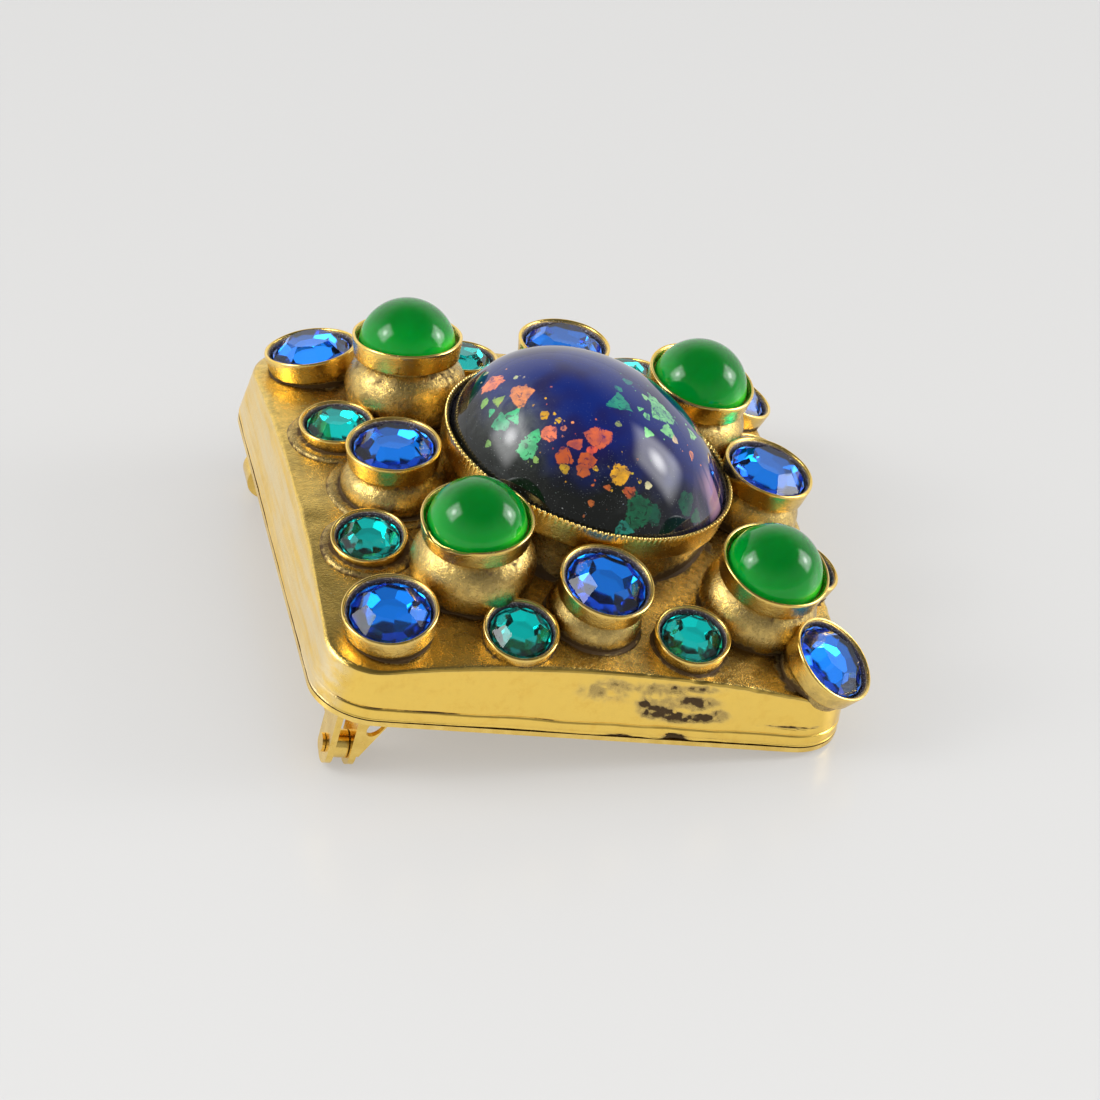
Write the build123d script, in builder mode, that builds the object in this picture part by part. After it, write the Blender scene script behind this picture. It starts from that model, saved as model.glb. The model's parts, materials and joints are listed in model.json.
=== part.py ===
from build123d import *
from collections import namedtuple
from math import atan2, cos, radians, sin, sqrt
import os

# A square costume brooch with twenty-one stones in cups, lying on its back.
# It is drawn in its own level frame, the back of the plate at height 0 with the
# front edge towards -Y, and that frame is set down leaning on its pin finding.
# All lengths are in millimetres and all angles in degrees.

# Casting: a shallow square box with a crowned top, open below
side = 45.9
corner_radius = 5.0
ridge_inset = 0.5
ridge_height = 6.6
crown_rise = 2.1
casting_wall = 1.2

# Closing plate
plate_thickness = 0.45
piece_gap = 0.05

# Cups: outer radius at the rim of each kind, and their walls
centre_rim_radius = 12.65
green_rim_radius = 4.7
blue_rim_radius = 4.0
teal_rim_radius = 3.2
rim_wall = 0.28
seat_wall = 0.5
foot_embed = 0.7
cup_floor = 1.0

# How far each kind of rim stands above the crowned top
centre_rise = 4.6
green_rise = 6.5
middle_blue_rise = 5.0
corner_blue_rise = 2.35
teal_rise = 1.6

# Wall of a cup, down to the neck where it meets its pedestal, and its draught
small_cup_height = 1.9
centre_cup_height = 2.3
cup_draught = 0.2

# Stones
stone_gap = 0.05
girdle_thickness = 0.2
green_dome_height = 3.05
green_girdle_depth = 0.9
centre_dome_height = 7.7
centre_girdle_depth = 1.0
blue_crown_height = 1.3
blue_pavilion_depth = 0.75
blue_girdle_depth = 0.45
teal_crown_height = 1.0
teal_pavilion_depth = 0.6
teal_girdle_depth = 0.4
table_share = 0.56
upper_facet_share = 0.84
culet_share = 0.35
facet_count = 8
lip_share = 0.8
shoulder_share = 0.6

# Pin finding under the left edge
finding_inset = 3.4
hinge_inset = 3.35
catch_inset = 5.5
stem_depth = 4.6
stem_radius = 0.4
stem_root_radius = 0.58
stem_root_length = 2.6
stem_past_catch = 3.0
stem_taper_length = 7.0
stem_point_radius = 0.12
rivet_radius = 0.45
rivet_clearance = 0.04
rivet_head_radius = 0.8
rivet_head_height = 0.25
eye_radius = 1.2
eye_width = 1.2
eye_side_gap = 0.075
ear_thickness = 0.55
ear_radius = 1.7
hinge_foot_thickness = 0.4
hinge_foot_depth = 3.6
web_width = 2.6
web_thickness = 0.5
web_foot_width = 0.2
web_hole_radius = 0.6
web_hole_height = 1.05
web_hole_lean = 30
web_hole_share = 0.4
catch_length = 2.4
catch_bore = 0.75
catch_slot = 1.1
catch_post_width = 1.7

# How far a cutting shape reaches past what it cuts
cut_past = 1.0

# Worked out from the sizes above
half = side / 2
hinge_x = finding_inset - half
hinge_y = hinge_inset - half
catch_y = half - catch_inset
stem_point_y = catch_y + stem_past_catch
half_ridge = half - ridge_inset
crown_radius = (half_ridge**2 + crown_rise**2) / (2 * crown_rise)
crown_top = ridge_height + crown_rise
casting_foot = plate_thickness + piece_gap
ear_inner_x = eye_width / 2 + eye_side_gap
ear_outer_x = ear_inner_x + ear_thickness
finding_drop = stem_depth + ear_radius

Kind = namedtuple("Kind", "rim rise height girdle neck ball foot")

# Neck, ball and foot are radii of the pedestal as shares of the rim's radius;
# a low cup has no ball, only a foot
kinds = {
    "centre": Kind(centre_rim_radius, centre_rise, centre_cup_height, centre_girdle_depth, 0.93, 0.92, 0.98),
    "green": Kind(green_rim_radius, green_rise, small_cup_height, green_girdle_depth, 0.90, 1.10, 0.90),
    "middle": Kind(blue_rim_radius, middle_blue_rise, small_cup_height, blue_girdle_depth, 0.86, 0.97, 0.90),
    "corner": Kind(blue_rim_radius, corner_blue_rise, small_cup_height, blue_girdle_depth, 0.88, None, 0.84),
    "teal": Kind(teal_rim_radius, teal_rise, small_cup_height, teal_girdle_depth, 0.92, None, 0.92),
}

Cup = namedtuple("Cup", "name kind x y rise ball lean_x lean_y")

# x and y are shares of half the side, rise and ball are shares of the kind's
# own, and the leans are how far the hand-set rim tips towards +X and +Y
cups = [
    Cup("centre_stone", "centre", 0.075, -0.026, 1.00, 1.00, 5.2, 2.4),
    Cup("green_stone_1", "green", -0.468, -0.557, 1.06, 1.00, -9.1, -3.6),
    Cup("green_stone_2", "green", 0.657, -0.641, 0.97, 0.97, 4.2, -10.0),
    Cup("green_stone_3", "green", 0.634, 0.508, 0.92, 0.97, 3.5, -1.6),
    Cup("green_stone_4", "green", -0.517, 0.570, 1.03, 1.00, -8.2, 11.5),
    Cup("blue_stone_1", "corner", -0.779, -0.803, 1.13, 1.00, -13.2, -8.3),
    Cup("blue_stone_2", "middle", 0.003, -0.751, 0.94, 1.00, 0.9, -11.9),
    Cup("blue_stone_3", "corner", 0.888, -0.869, 1.03, 1.00, 23.4, -16.9),
    Cup("blue_stone_4", "middle", 0.784, -0.014, 1.07, 1.02, 7.8, -1.7),
    Cup("blue_stone_5", "corner", 0.876, 0.786, 0.87, 1.00, 16.0, 4.9),
    Cup("blue_stone_6", "middle", 0.131, 0.689, 1.05, 1.00, -3.1, 5.5),
    Cup("blue_stone_7", "corner", -0.790, 0.820, 0.96, 1.00, -17.3, 14.7),
    Cup("blue_stone_8", "middle", -0.664, -0.032, 0.95, 1.12, -11.5, 2.3),
    Cup("teal_stone_1", "teal", -0.301, -0.856, 0.93, 1.00, -5.8, -15.8),
    Cup("teal_stone_2", "teal", 0.345, -0.833, 1.08, 1.00, -3.4, -11.9),
    Cup("teal_stone_3", "teal", 0.892, -0.352, 1.17, 1.00, 14.1, -3.5),
    Cup("teal_stone_4", "teal", 0.892, 0.326, 1.10, 1.00, 13.0, 3.0),
    Cup("teal_stone_5", "teal", 0.427, 0.795, 1.10, 1.00, -11.9, 17.0),
    Cup("teal_stone_6", "teal", -0.210, 0.800, 1.01, 1.00, -4.3, 10.9),
    Cup("teal_stone_7", "teal", -0.780, 0.313, 0.96, 1.00, -11.7, 2.3),
    Cup("teal_stone_8", "teal", -0.775, -0.358, 0.82, 1.00, -13.2, -6.7),
]


def top_height(x, y):
    """Height of the crowned top above the back of the plate."""
    return crown_top - (x * x + y * y) / (2 * crown_radius)


def rim_place(cup):
    """Place and lean of a cup's rim in the level frame."""
    kind = kinds[cup.kind]
    x = cup.x * half
    y = cup.y * half
    height = top_height(x, y) + cup.rise * kind.rise
    return Location((x, y, height), (-cup.lean_y, cup.lean_x, 0))


def rim_reach(cup, direction):
    """How far a cup's rim reaches along a direction."""
    place = rim_place(cup)
    along = place.position.dot(direction)
    tip = Plane(place).z_dir.dot(direction)
    return along + kinds[cup.kind].rim * sqrt(1 - tip * tip)


# The brooch leans until the right foot edge, the hinge and the catch are all down
lean = atan2(finding_drop, half - hinge_x - ear_outer_x)
catch_radius = (half - hinge_x) * sin(lean) - stem_depth * cos(lean)
frame_x = Vector(cos(lean), 0, sin(lean))
frame_y = Vector(0, 1, 0)
right_reach = max(rim_reach(cup, frame_x) for cup in cups)
front_reach = max(rim_reach(cup, -frame_y) for cup in cups)
seat = Plane(
    origin=(
        (half * cos(lean) - right_reach) / 2,
        (front_reach - half) / 2,
        half * sin(lean),
    ),
    x_dir=(cos(lean), 0, -sin(lean)),
    z_dir=(sin(lean), 0, cos(lean)),
)


def on_seat(place):
    """Plane of a place that is given in the level frame."""
    return Plane(seat.location * place)


def upright(place):
    """Plane through a place's own axis, for a profile that is turned about it."""
    plane = on_seat(place)
    return Plane(origin=plane.origin, x_dir=plane.x_dir, z_dir=-plane.y_dir)


def axis_of(place):
    """Axis of a place, along which its turned profiles stand."""
    plane = on_seat(place)
    return Axis(plane.origin, plane.z_dir)


def seat_radius(kind):
    """Radius of the part of a cup that takes the stone's girdle."""
    return kind.rim - seat_wall


def seat_depth(kind_name):
    """Depth of a cup's floor below its rim."""
    depths = {
        "centre": centre_girdle_depth,
        "green": green_girdle_depth,
        "middle": blue_girdle_depth + girdle_thickness + blue_pavilion_depth,
        "corner": blue_girdle_depth + girdle_thickness + blue_pavilion_depth,
        "teal": teal_girdle_depth + girdle_thickness + teal_pavilion_depth,
    }
    return depths[kind_name] + stone_gap


def box_block(foot_half, foot_radius, foot, top):
    """Draughted square block under a crowned top that is top high at its middle."""
    height = top + piece_gap
    inset = ridge_inset * (height - foot) / (ridge_height - casting_foot)
    with BuildPart() as block:
        with BuildSketch(seat.offset(foot)):
            RectangleRounded(2 * foot_half, 2 * foot_half, foot_radius)
        with BuildSketch(seat.offset(height)):
            RectangleRounded(2 * (foot_half - inset), 2 * (foot_half - inset), foot_radius - inset)
        loft()
        reach = 2 * foot_half
        edge = top - crown_radius + sqrt(crown_radius**2 - reach**2)
        with BuildSketch(upright(Location())):
            with BuildLine():
                floor = Line((0, foot - cut_past), (reach, foot - cut_past))
                wall = Line(floor @ 1, (reach, edge))
                crown = RadiusArc(wall @ 1, (0, top), -crown_radius)
                Line(crown @ 1, floor @ 0)
            make_face()
        revolve(axis=axis_of(Location()), mode=Mode.INTERSECT)
    return block.part


def cup_solid(cup):
    """Cup and pedestal of one stone, reaching down into the top of the casting."""
    kind = kinds[cup.kind]
    place = rim_place(cup)
    rise = cup.rise * kind.rise
    drop = rise + foot_embed
    height = min(kind.height, rise)
    with BuildPart() as pedestal:
        with BuildSketch(upright(place)):
            with BuildLine():
                rim = Line((0, 0), (kind.rim, 0))
                wall = Line(rim @ 1, (kind.rim - cup_draught, -height))
                neck = Line(wall @ 1, (kind.rim * kind.neck, -height - cup_draught))
                if kind.ball:
                    waist = (kind.rim * kind.ball * cup.ball, -(height + rise) / 2)
                    foot = ThreePointArc(neck @ 1, waist, (kind.rim * kind.foot, -drop))
                else:
                    foot = Line(neck @ 1, (kind.rim * kind.foot, -drop))
                base = Line(foot @ 1, (0, -drop))
                Line(base @ 1, rim @ 0)
            make_face()
        revolve(axis=axis_of(place))
    return pedestal.part


def core_solid(cup):
    """Core that hollows a tall pedestal from inside the casting."""
    kind = kinds[cup.kind]
    place = rim_place(cup)
    ceiling = seat_depth(cup.kind) + cup_floor
    depth = cup.rise * kind.rise + casting_wall + cut_past
    radius = kind.rim * min(kind.neck, kind.ball) - casting_wall
    with BuildPart() as core:
        with BuildSketch(on_seat(place).offset(-depth)):
            Circle(radius)
        extrude(amount=depth - ceiling)
    return core.part


def seat_solid(cup):
    """Hollow that a stone is set in: open at the rim, close round the girdle."""
    kind = kinds[cup.kind]
    place = rim_place(cup)
    depth = seat_depth(cup.kind)
    with BuildPart() as hollow:
        with BuildSketch(upright(place)):
            with BuildLine():
                top = Line((0, stone_gap), (kind.rim - rim_wall, stone_gap))
                lip = Line(top @ 1, (seat_radius(kind), -kind.girdle * lip_share))
                wall = Line(lip @ 1, (seat_radius(kind), -depth))
                floor = Line(wall @ 1, (0, -depth))
                Line(floor @ 1, top @ 0)
            make_face()
        revolve(axis=axis_of(place))
    return hollow.part


# Cast front: block and pedestals, cored from below and cut for the stones
block = box_block(half, corner_radius, casting_foot, crown_top)
cavity = box_block(
    half - casting_wall,
    corner_radius - casting_wall,
    casting_foot - cut_past,
    crown_top - casting_wall,
)
pedestals = [cup_solid(cup) for cup in cups]
cores = [core_solid(cup) for cup in cups if kinds[cup.kind].ball]
seats = [seat_solid(cup) for cup in cups]
with BuildPart() as front_casting:
    add(block)
    add(pedestals)
    add(cavity, mode=Mode.SUBTRACT)
    add(cores, mode=Mode.SUBTRACT)
    add(seats, mode=Mode.SUBTRACT)
front_casting.part.label = "front_casting"

# Closing plate with the hinge ears, their web and the catch
hinge = Location((hinge_x, hinge_y, -stem_depth))
side_plane = Plane(origin=(0, 0, 0), x_dir=(0, 1, 0), z_dir=(1, 0, 0))
hinge_side = on_seat(hinge * side_plane.location)
catch_face = on_seat(Location((hinge_x, catch_y - catch_length / 2, -stem_depth)) * Plane.XZ.location)
web_y = hinge_y - ear_radius + web_thickness
web_face = on_seat(Location((hinge_x + ear_outer_x, web_y, 0)) * Plane.XZ.location)
with BuildPart() as back_plate:
    with BuildSketch(seat):
        RectangleRounded(side, side, corner_radius)
    extrude(amount=plate_thickness)
    with BuildSketch(seat):
        with Locations((hinge_x - ear_outer_x, hinge_y)):
            Rectangle(2 * ear_outer_x + web_width, hinge_foot_depth, align=(Align.MIN, Align.CENTER))
    extrude(amount=-hinge_foot_thickness)
    with BuildSketch(hinge_side.offset(-ear_outer_x)):
        Circle(ear_radius)
        Rectangle(2 * ear_radius, stem_depth, align=(Align.CENTER, Align.MIN))
    extrude(amount=ear_thickness)
    with BuildSketch(hinge_side.offset(ear_inner_x)):
        Circle(ear_radius)
        Rectangle(2 * ear_radius, stem_depth, align=(Align.CENTER, Align.MIN))
    extrude(amount=ear_thickness)
    with BuildSketch(web_face):
        with BuildLine():
            top = Line((0, 0), (web_width, 0))
            flare = Line(top @ 1, (web_foot_width, -stem_depth))
            bottom = Line(flare @ 1, (-ear_thickness / 2, -stem_depth))
            inner = Line(bottom @ 1, (-ear_thickness / 2, 0))
            Line(inner @ 1, top @ 0)
        make_face()
        with Locations((web_width * web_hole_share, -hinge_foot_thickness - web_hole_height)):
            Ellipse(web_hole_radius, web_hole_height, rotation=-web_hole_lean, mode=Mode.SUBTRACT)
    extrude(amount=web_thickness)
    with BuildSketch(hinge_side.offset(-ear_outer_x - cut_past)):
        Circle(rivet_radius + rivet_clearance)
    extrude(amount=2 * (ear_outer_x + cut_past), mode=Mode.SUBTRACT)
    with BuildSketch(catch_face):
        Circle(catch_radius)
        Rectangle(catch_post_width, stem_depth, align=(Align.CENTER, Align.MIN))
        Circle(catch_bore, mode=Mode.SUBTRACT)
        Rectangle(catch_slot, 2 * catch_radius, align=(Align.CENTER, Align.MAX), mode=Mode.SUBTRACT)
    extrude(amount=-catch_length)
back_plate.part.label = "back_plate"

# Rivet through the two ears
with BuildPart() as hinge_rivet:
    with BuildSketch(hinge_side.offset(-ear_outer_x - piece_gap)):
        Circle(rivet_radius)
    extrude(amount=2 * (ear_outer_x + piece_gap))
    with BuildSketch(hinge_side.offset(ear_outer_x + piece_gap)):
        Circle(rivet_head_radius)
    extrude(amount=rivet_head_height)
    with BuildSketch(hinge_side.offset(-ear_outer_x - piece_gap)):
        Circle(rivet_head_radius)
    extrude(amount=-rivet_head_height)
hinge_rivet.part.label = "hinge_rivet"

# Pin stem: rolled eye, thick root, long plain stem and tapered point
stem_line = on_seat(hinge * Plane.XZ.location)
taper_start = stem_point_y - stem_taper_length - hinge_y
point_reach = stem_point_y - hinge_y
with BuildPart() as pin_stem:
    with BuildSketch(hinge_side.offset(-eye_width / 2)):
        Circle(eye_radius)
    extrude(amount=eye_width)
    with BuildSketch(stem_line):
        Circle(stem_root_radius)
    extrude(amount=-stem_root_length)
    with BuildSketch(stem_line):
        Circle(stem_radius)
    extrude(amount=-taper_start)
    with BuildSketch(stem_line.offset(-taper_start)):
        Circle(stem_radius)
    with BuildSketch(stem_line.offset(-point_reach)):
        Circle(stem_point_radius)
    loft()
    with BuildSketch(hinge_side.offset(-eye_width)):
        Circle(rivet_radius + rivet_clearance)
    extrude(amount=2 * eye_width, mode=Mode.SUBTRACT)
pin_stem.part.label = "pin_stem"


def cabochon(cup, dome_height):
    """Domed stone with a short straight girdle that stands in its cup."""
    kind = kinds[cup.kind]
    place = rim_place(cup)
    radius = seat_radius(kind) - stone_gap
    sole = -kind.girdle
    shoulder = sole * shoulder_share
    with BuildPart() as stone:
        with BuildSketch(upright(place)):
            with BuildLine():
                base = Line((0, sole), (radius, sole))
                girdle = Line(base @ 1, (radius, shoulder))
                dome = TangentArc((0, dome_height), girdle @ 1, tangent=(1, 0))
                Line(dome @ 0, base @ 0)
            make_face()
        revolve(axis=axis_of(place))
    return stone.part


def faceted_stone(cup, crown_height, pavilion_depth):
    """Round cut stone: table, two rows of crown facets, girdle and flat-footed pavilion."""
    kind = kinds[cup.kind]
    plane = on_seat(rim_place(cup))
    girdle_top = -kind.girdle
    girdle_foot = girdle_top - girdle_thickness
    girdle = seat_radius(kind) - stone_gap
    upper = girdle * upper_facet_share
    with BuildPart() as stone:
        with BuildSketch(plane.offset(girdle_top)):
            RegularPolygon(girdle / cos(radians(180 / facet_count)), facet_count)
        with BuildSketch(plane.offset(girdle_top + crown_height)):
            RegularPolygon(girdle * table_share, facet_count)
        loft()
        with BuildSketch(plane.offset(girdle_top)):
            RegularPolygon(girdle, 2 * facet_count)
        with BuildSketch(plane.offset(girdle_top + crown_height)):
            RegularPolygon(upper, 2 * facet_count)
        loft(mode=Mode.INTERSECT)
        with BuildSketch(plane.offset(girdle_foot)):
            RegularPolygon(girdle, 2 * facet_count)
        extrude(amount=girdle_thickness)
        with BuildSketch(plane.offset(girdle_foot)):
            RegularPolygon(girdle, 2 * facet_count)
        with BuildSketch(plane.offset(girdle_foot - pavilion_depth)):
            RegularPolygon(girdle * culet_share, 2 * facet_count)
        loft()
    return stone.part


stones = []
for cup in cups:
    if cup.kind == "centre":
        stone = cabochon(cup, centre_dome_height)
    elif cup.kind == "green":
        stone = cabochon(cup, green_dome_height)
    elif cup.kind == "teal":
        stone = faceted_stone(cup, teal_crown_height, teal_pavilion_depth)
    else:
        stone = faceted_stone(cup, blue_crown_height, blue_pavilion_depth)
    stone.label = cup.name
    stones.append(stone)

os.makedirs("parts", exist_ok=True)
export_step(front_casting.part, "parts/front_casting.step")
export_step(back_plate.part, "parts/back_plate.step")
export_step(hinge_rivet.part, "parts/hinge_rivet.step")
export_step(pin_stem.part, "parts/pin_stem.step")
for stone in stones:
    export_step(stone, f"parts/{stone.label}.step")
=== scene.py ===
"""Dressed model of a square costume brooch: cast front, set stones, pin finding and studio.

Sizes are in millimetres in the brooch's own level frame, with the back of its plate
at height 0 and its front edge towards -Y. Seat sets them down, in metres, in the
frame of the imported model, where the brooch leans on its pin finding.
"""
import json
import logging
import math
from dataclasses import dataclass, field
from enum import Enum

import bpy
import numpy as np
from mathutils import Matrix, Vector


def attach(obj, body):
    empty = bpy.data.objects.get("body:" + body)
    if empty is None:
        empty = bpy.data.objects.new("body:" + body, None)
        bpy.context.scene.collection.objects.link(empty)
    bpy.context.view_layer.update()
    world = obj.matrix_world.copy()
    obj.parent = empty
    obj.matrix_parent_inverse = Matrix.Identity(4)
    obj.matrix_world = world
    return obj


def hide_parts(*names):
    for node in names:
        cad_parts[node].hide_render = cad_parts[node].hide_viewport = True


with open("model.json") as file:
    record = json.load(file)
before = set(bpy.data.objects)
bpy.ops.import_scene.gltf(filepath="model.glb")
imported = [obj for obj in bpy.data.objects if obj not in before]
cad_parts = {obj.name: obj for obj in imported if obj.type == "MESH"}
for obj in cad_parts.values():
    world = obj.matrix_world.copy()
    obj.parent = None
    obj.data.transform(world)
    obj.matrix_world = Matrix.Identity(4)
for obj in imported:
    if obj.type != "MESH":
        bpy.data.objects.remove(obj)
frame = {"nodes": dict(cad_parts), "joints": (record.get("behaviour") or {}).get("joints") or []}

MM = 0.001
FULL_TURN = 2 * math.pi
HINGE_PLACE = (-19.55, -19.6, -4.6)
LATTICE_STEPS = (12.9898, 78.233, 37.719)
LATTICE_SCATTER = 43758.5453
LOG = logging.getLogger("brooch")

Triple = tuple[float, float, float]
Socket = bpy.types.NodeSocket
Value = Socket | float
Tint = Socket | Triple


@dataclass(frozen=True)
class Seat:
    """The level frame of the brooch, set down as it lies.

    Attributes:
        origin: Place of the level frame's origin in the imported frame, in millimetres.
        axes: Rows are the level X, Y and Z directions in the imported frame.
    """

    origin: np.ndarray
    axes: np.ndarray

    @classmethod
    def from_hinge(cls, hinge: dict, pivot: Triple) -> "Seat":
        """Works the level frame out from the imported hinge.

        Args:
            hinge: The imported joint, whose axis points along level -X.
            pivot: The hinge's place in the level frame.

        Returns:
            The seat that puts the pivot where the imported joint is.
        """
        x_axis = -np.array(hinge["axis"])
        y_axis = np.array((0.0, 1.0, 0.0))
        axes = np.stack((x_axis, y_axis, np.cross(x_axis, y_axis)))
        return cls(np.array(hinge["pos_m"]) / MM - np.array(pivot) @ axes, axes)

    def to_row(self, points: np.ndarray) -> np.ndarray:
        """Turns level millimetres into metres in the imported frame.

        Args:
            points: Level points, three numbers each in the last axis.

        Returns:
            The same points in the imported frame.
        """
        return (self.origin + points @ self.axes) * MM


def drift(points: np.ndarray, pitch: float, seed: int) -> np.ndarray:
    """Smooth random value between -1 and 1 at each point.

    Value noise: each corner of a cubic lattice of the given pitch has a fixed random
    value, the fraction of a large sine of its whole numbers, and the eight corners
    round a point are blended with the smooth step 3t^2 - 2t^3 along each axis.

    Args:
        points: Places, three numbers each in the last axis.
        pitch: Distance between lattice corners, in the points' unit.
        seed: Picks one pattern.

    Returns:
        One value for each place.
    """
    scaled = points / pitch + 19.19 * seed
    corner = np.floor(scaled)
    part = scaled - corner
    part = part * part * (3 - 2 * part)
    total = np.zeros(points.shape[:-1])
    for step in np.ndindex(2, 2, 2):
        value = np.sin((corner + step) @ LATTICE_STEPS + seed) * LATTICE_SCATTER
        value = 2 * (value - np.floor(value)) - 1
        share = np.where(np.array(step) == 1, part, 1 - part).prod(axis=-1)
        total += share * value
    return total


def ease(value: np.ndarray) -> np.ndarray:
    """Smooth step from 0 to 1 while the value goes from 0 to 1."""
    held = np.clip(value, 0, 1)
    return held * held * (3 - 2 * held)


def arc_through(start: tuple, middle: tuple, end: tuple, count: int) -> np.ndarray:
    """Points on the circle through three points, from the first to the last.

    The centre is where the two perpendicular bisectors meet, and the angles run
    evenly from the first point through the second to the third.

    Args:
        start: First point, radius and height.
        middle: A point between the ends.
        end: Last point.
        count: How many points.

    Returns:
        An array of count rows of radius and height.
    """
    a, b, c = (np.array(point, float) for point in (start, middle, end))
    matrix = 2 * np.array((b - a, c - b))
    centre = np.linalg.solve(matrix, np.array((b @ b - a @ a, c @ c - b @ b)))
    turns = [math.atan2(*(point - centre)[::-1]) for point in (a, b, c)]
    turns = np.unwrap(turns)
    angles = np.linspace(turns[0], turns[2], count)
    radius = np.linalg.norm(a - centre)
    return centre + radius * np.stack((np.cos(angles), np.sin(angles)), axis=1)


@dataclass
class Skin:
    """A closed surface made of rings of points that all run the same way round.

    Attributes:
        rings: Level points by ring, column and axis. The first ring closes on the
            upper or inner pole and the last one on the lower pole.
        marks: Named values by ring and column that the finishes read.
    """

    rings: np.ndarray
    marks: dict[str, np.ndarray] = field(default_factory=dict)

    def to_piece(self, name: str, seat: Seat, smooth: bool = True) -> bpy.types.Object:
        """Makes the mesh object.

        Each quad runs from a ring to the next and then one column on, so that it
        faces out, and a fan of triangles closes each end on the middle of its ring.

        Args:
            name: Name of the piece.
            seat: Where the level frame lies.
            smooth: Whether the faces are shaded smooth.

        Returns:
            The object, linked to the scene with its place in its mesh.
        """
        count, columns = self.rings.shape[:2]
        poles = self.rings[[0, -1]].mean(axis=1)
        points = seat.to_row(np.concatenate((self.rings.reshape(-1, 3), poles)))
        here = np.arange(count * columns).reshape(count, columns)
        beside = np.roll(here, -1, axis=1)
        quads = np.stack((here[:-1], here[1:], beside[1:], beside[:-1]), axis=-1)
        top = np.full(columns, count * columns)
        fans = np.concatenate(
            (
                np.stack((top, here[0], beside[0]), axis=-1),
                np.stack((here[-1], top + 1, beside[-1]), axis=-1),
            )
        )
        piece = mesh_piece(name, points, [quads.reshape(-1, 4), fans], smooth)
        for mark, values in self.marks.items():
            ends = values[[0, -1]].mean(axis=1)
            flat = np.concatenate((values.ravel(), ends)).astype(np.float32)
            piece.data.attributes.new(mark, "FLOAT", "POINT").data.foreach_set("value", flat)
        return piece


def mesh_piece(
    name: str, points: np.ndarray, faces: list[np.ndarray], smooth: bool
) -> bpy.types.Object:
    """Makes a mesh object from whole arrays.

    Args:
        name: Name of the piece.
        points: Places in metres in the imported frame.
        faces: Arrays of corner numbers, one array for each number of corners.
        smooth: Whether the faces are shaded smooth.

    Returns:
        The object, linked to the scene.
    """
    mesh = bpy.data.meshes.new(name)
    mesh.vertices.add(len(points))
    mesh.vertices.foreach_set("co", points.astype(np.float32).ravel())
    corners = np.concatenate([group.ravel() for group in faces])
    sizes = np.concatenate([np.full(len(group), group.shape[1]) for group in faces])
    mesh.loops.add(len(corners))
    mesh.loops.foreach_set("vertex_index", corners.astype(np.int32))
    mesh.polygons.add(len(sizes))
    starts = np.concatenate(((0,), np.cumsum(sizes)[:-1]))
    mesh.polygons.foreach_set("loop_start", starts.astype(np.int32))
    mesh.polygons.foreach_set("use_smooth", np.full(len(sizes), smooth))
    mesh.update(calc_edges=True)
    mesh.validate()
    piece = bpy.data.objects.new(name, mesh)
    bpy.context.scene.collection.objects.link(piece)
    return piece


class Nodes:
    """Adds nodes to a tree, one short call for each node."""

    def __init__(self, tree: bpy.types.NodeTree) -> None:
        """Keeps the tree.

        Args:
            tree: Tree of a material, a light or the world.
        """
        self.tree = tree

    def add(self, kind: str, source: Socket | None = None) -> bpy.types.Node:
        """Adds a node.

        Args:
            kind: The node's type.
            source: Output that its first input is linked to, if any.

        Returns:
            The node.
        """
        node = self.tree.nodes.new(kind)
        if source:
            self.tree.links.new(source, node.inputs[0])
        return node

    def maths(self, kind: str, *values: Value) -> Socket:
        """One step of arithmetic.

        Args:
            kind: The operation's name.
            values: Outputs or numbers.

        Returns:
            The result.
        """
        node = self.tree.nodes.new("ShaderNodeMath")
        node.operation = kind
        for socket, value in zip(node.inputs, values):
            if isinstance(value, Socket):
                self.tree.links.new(value, socket)
            else:
                socket.default_value = value
        return node.outputs[0]

    def times(self, first: Value, second: Value) -> Socket:
        """Product of two outputs or numbers."""
        return self.maths("MULTIPLY", first, second)

    def plus(self, first: Value, second: Value) -> Socket:
        """Sum of two outputs or numbers."""
        return self.maths("ADD", first, second)

    def minus(self, first: Value, second: Value) -> Socket:
        """First of two outputs or numbers less the second."""
        return self.maths("SUBTRACT", first, second)

    def span(
        self,
        value: Socket,
        low: float,
        high: float,
        first: float = 0.0,
        last: float = 1.0,
    ) -> Socket:
        """Maps a value smoothly from one span to another and holds it there.

        Args:
            value: What is mapped.
            low: Value that gives first.
            high: Value that gives last.
            first: Result at low.
            last: Result at high.

        Returns:
            The mapped value.
        """
        node = self.tree.nodes.new("ShaderNodeMapRange")
        node.interpolation_type = "SMOOTHSTEP"
        self.tree.links.new(value, node.inputs["Value"])
        names = ("From Min", "From Max", "To Min", "To Max")
        for name, number in zip(names, (low, high, first, last)):
            node.inputs[name].default_value = number
        return node.outputs["Result"]

    def blend(self, factor: Value, first: Tint, second: Tint) -> Socket:
        """Mixes two colours.

        Args:
            factor: Share of the second colour.
            first: Colour or output.
            second: Colour or output.

        Returns:
            The mixed colour.
        """
        node = self.tree.nodes.new("ShaderNodeMix")
        node.data_type = "RGBA"
        # The factor is input 0, and the two colours are inputs 6 and 7.
        sockets = (node.inputs[0], node.inputs[6], node.inputs[7])
        for socket, value in zip(sockets, (factor, first, second)):
            if isinstance(value, Socket):
                self.tree.links.new(value, socket)
            elif isinstance(value, (int, float)):
                socket.default_value = value
            else:
                socket.default_value = (*value, 1.0)
        return node.outputs[2]


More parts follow.
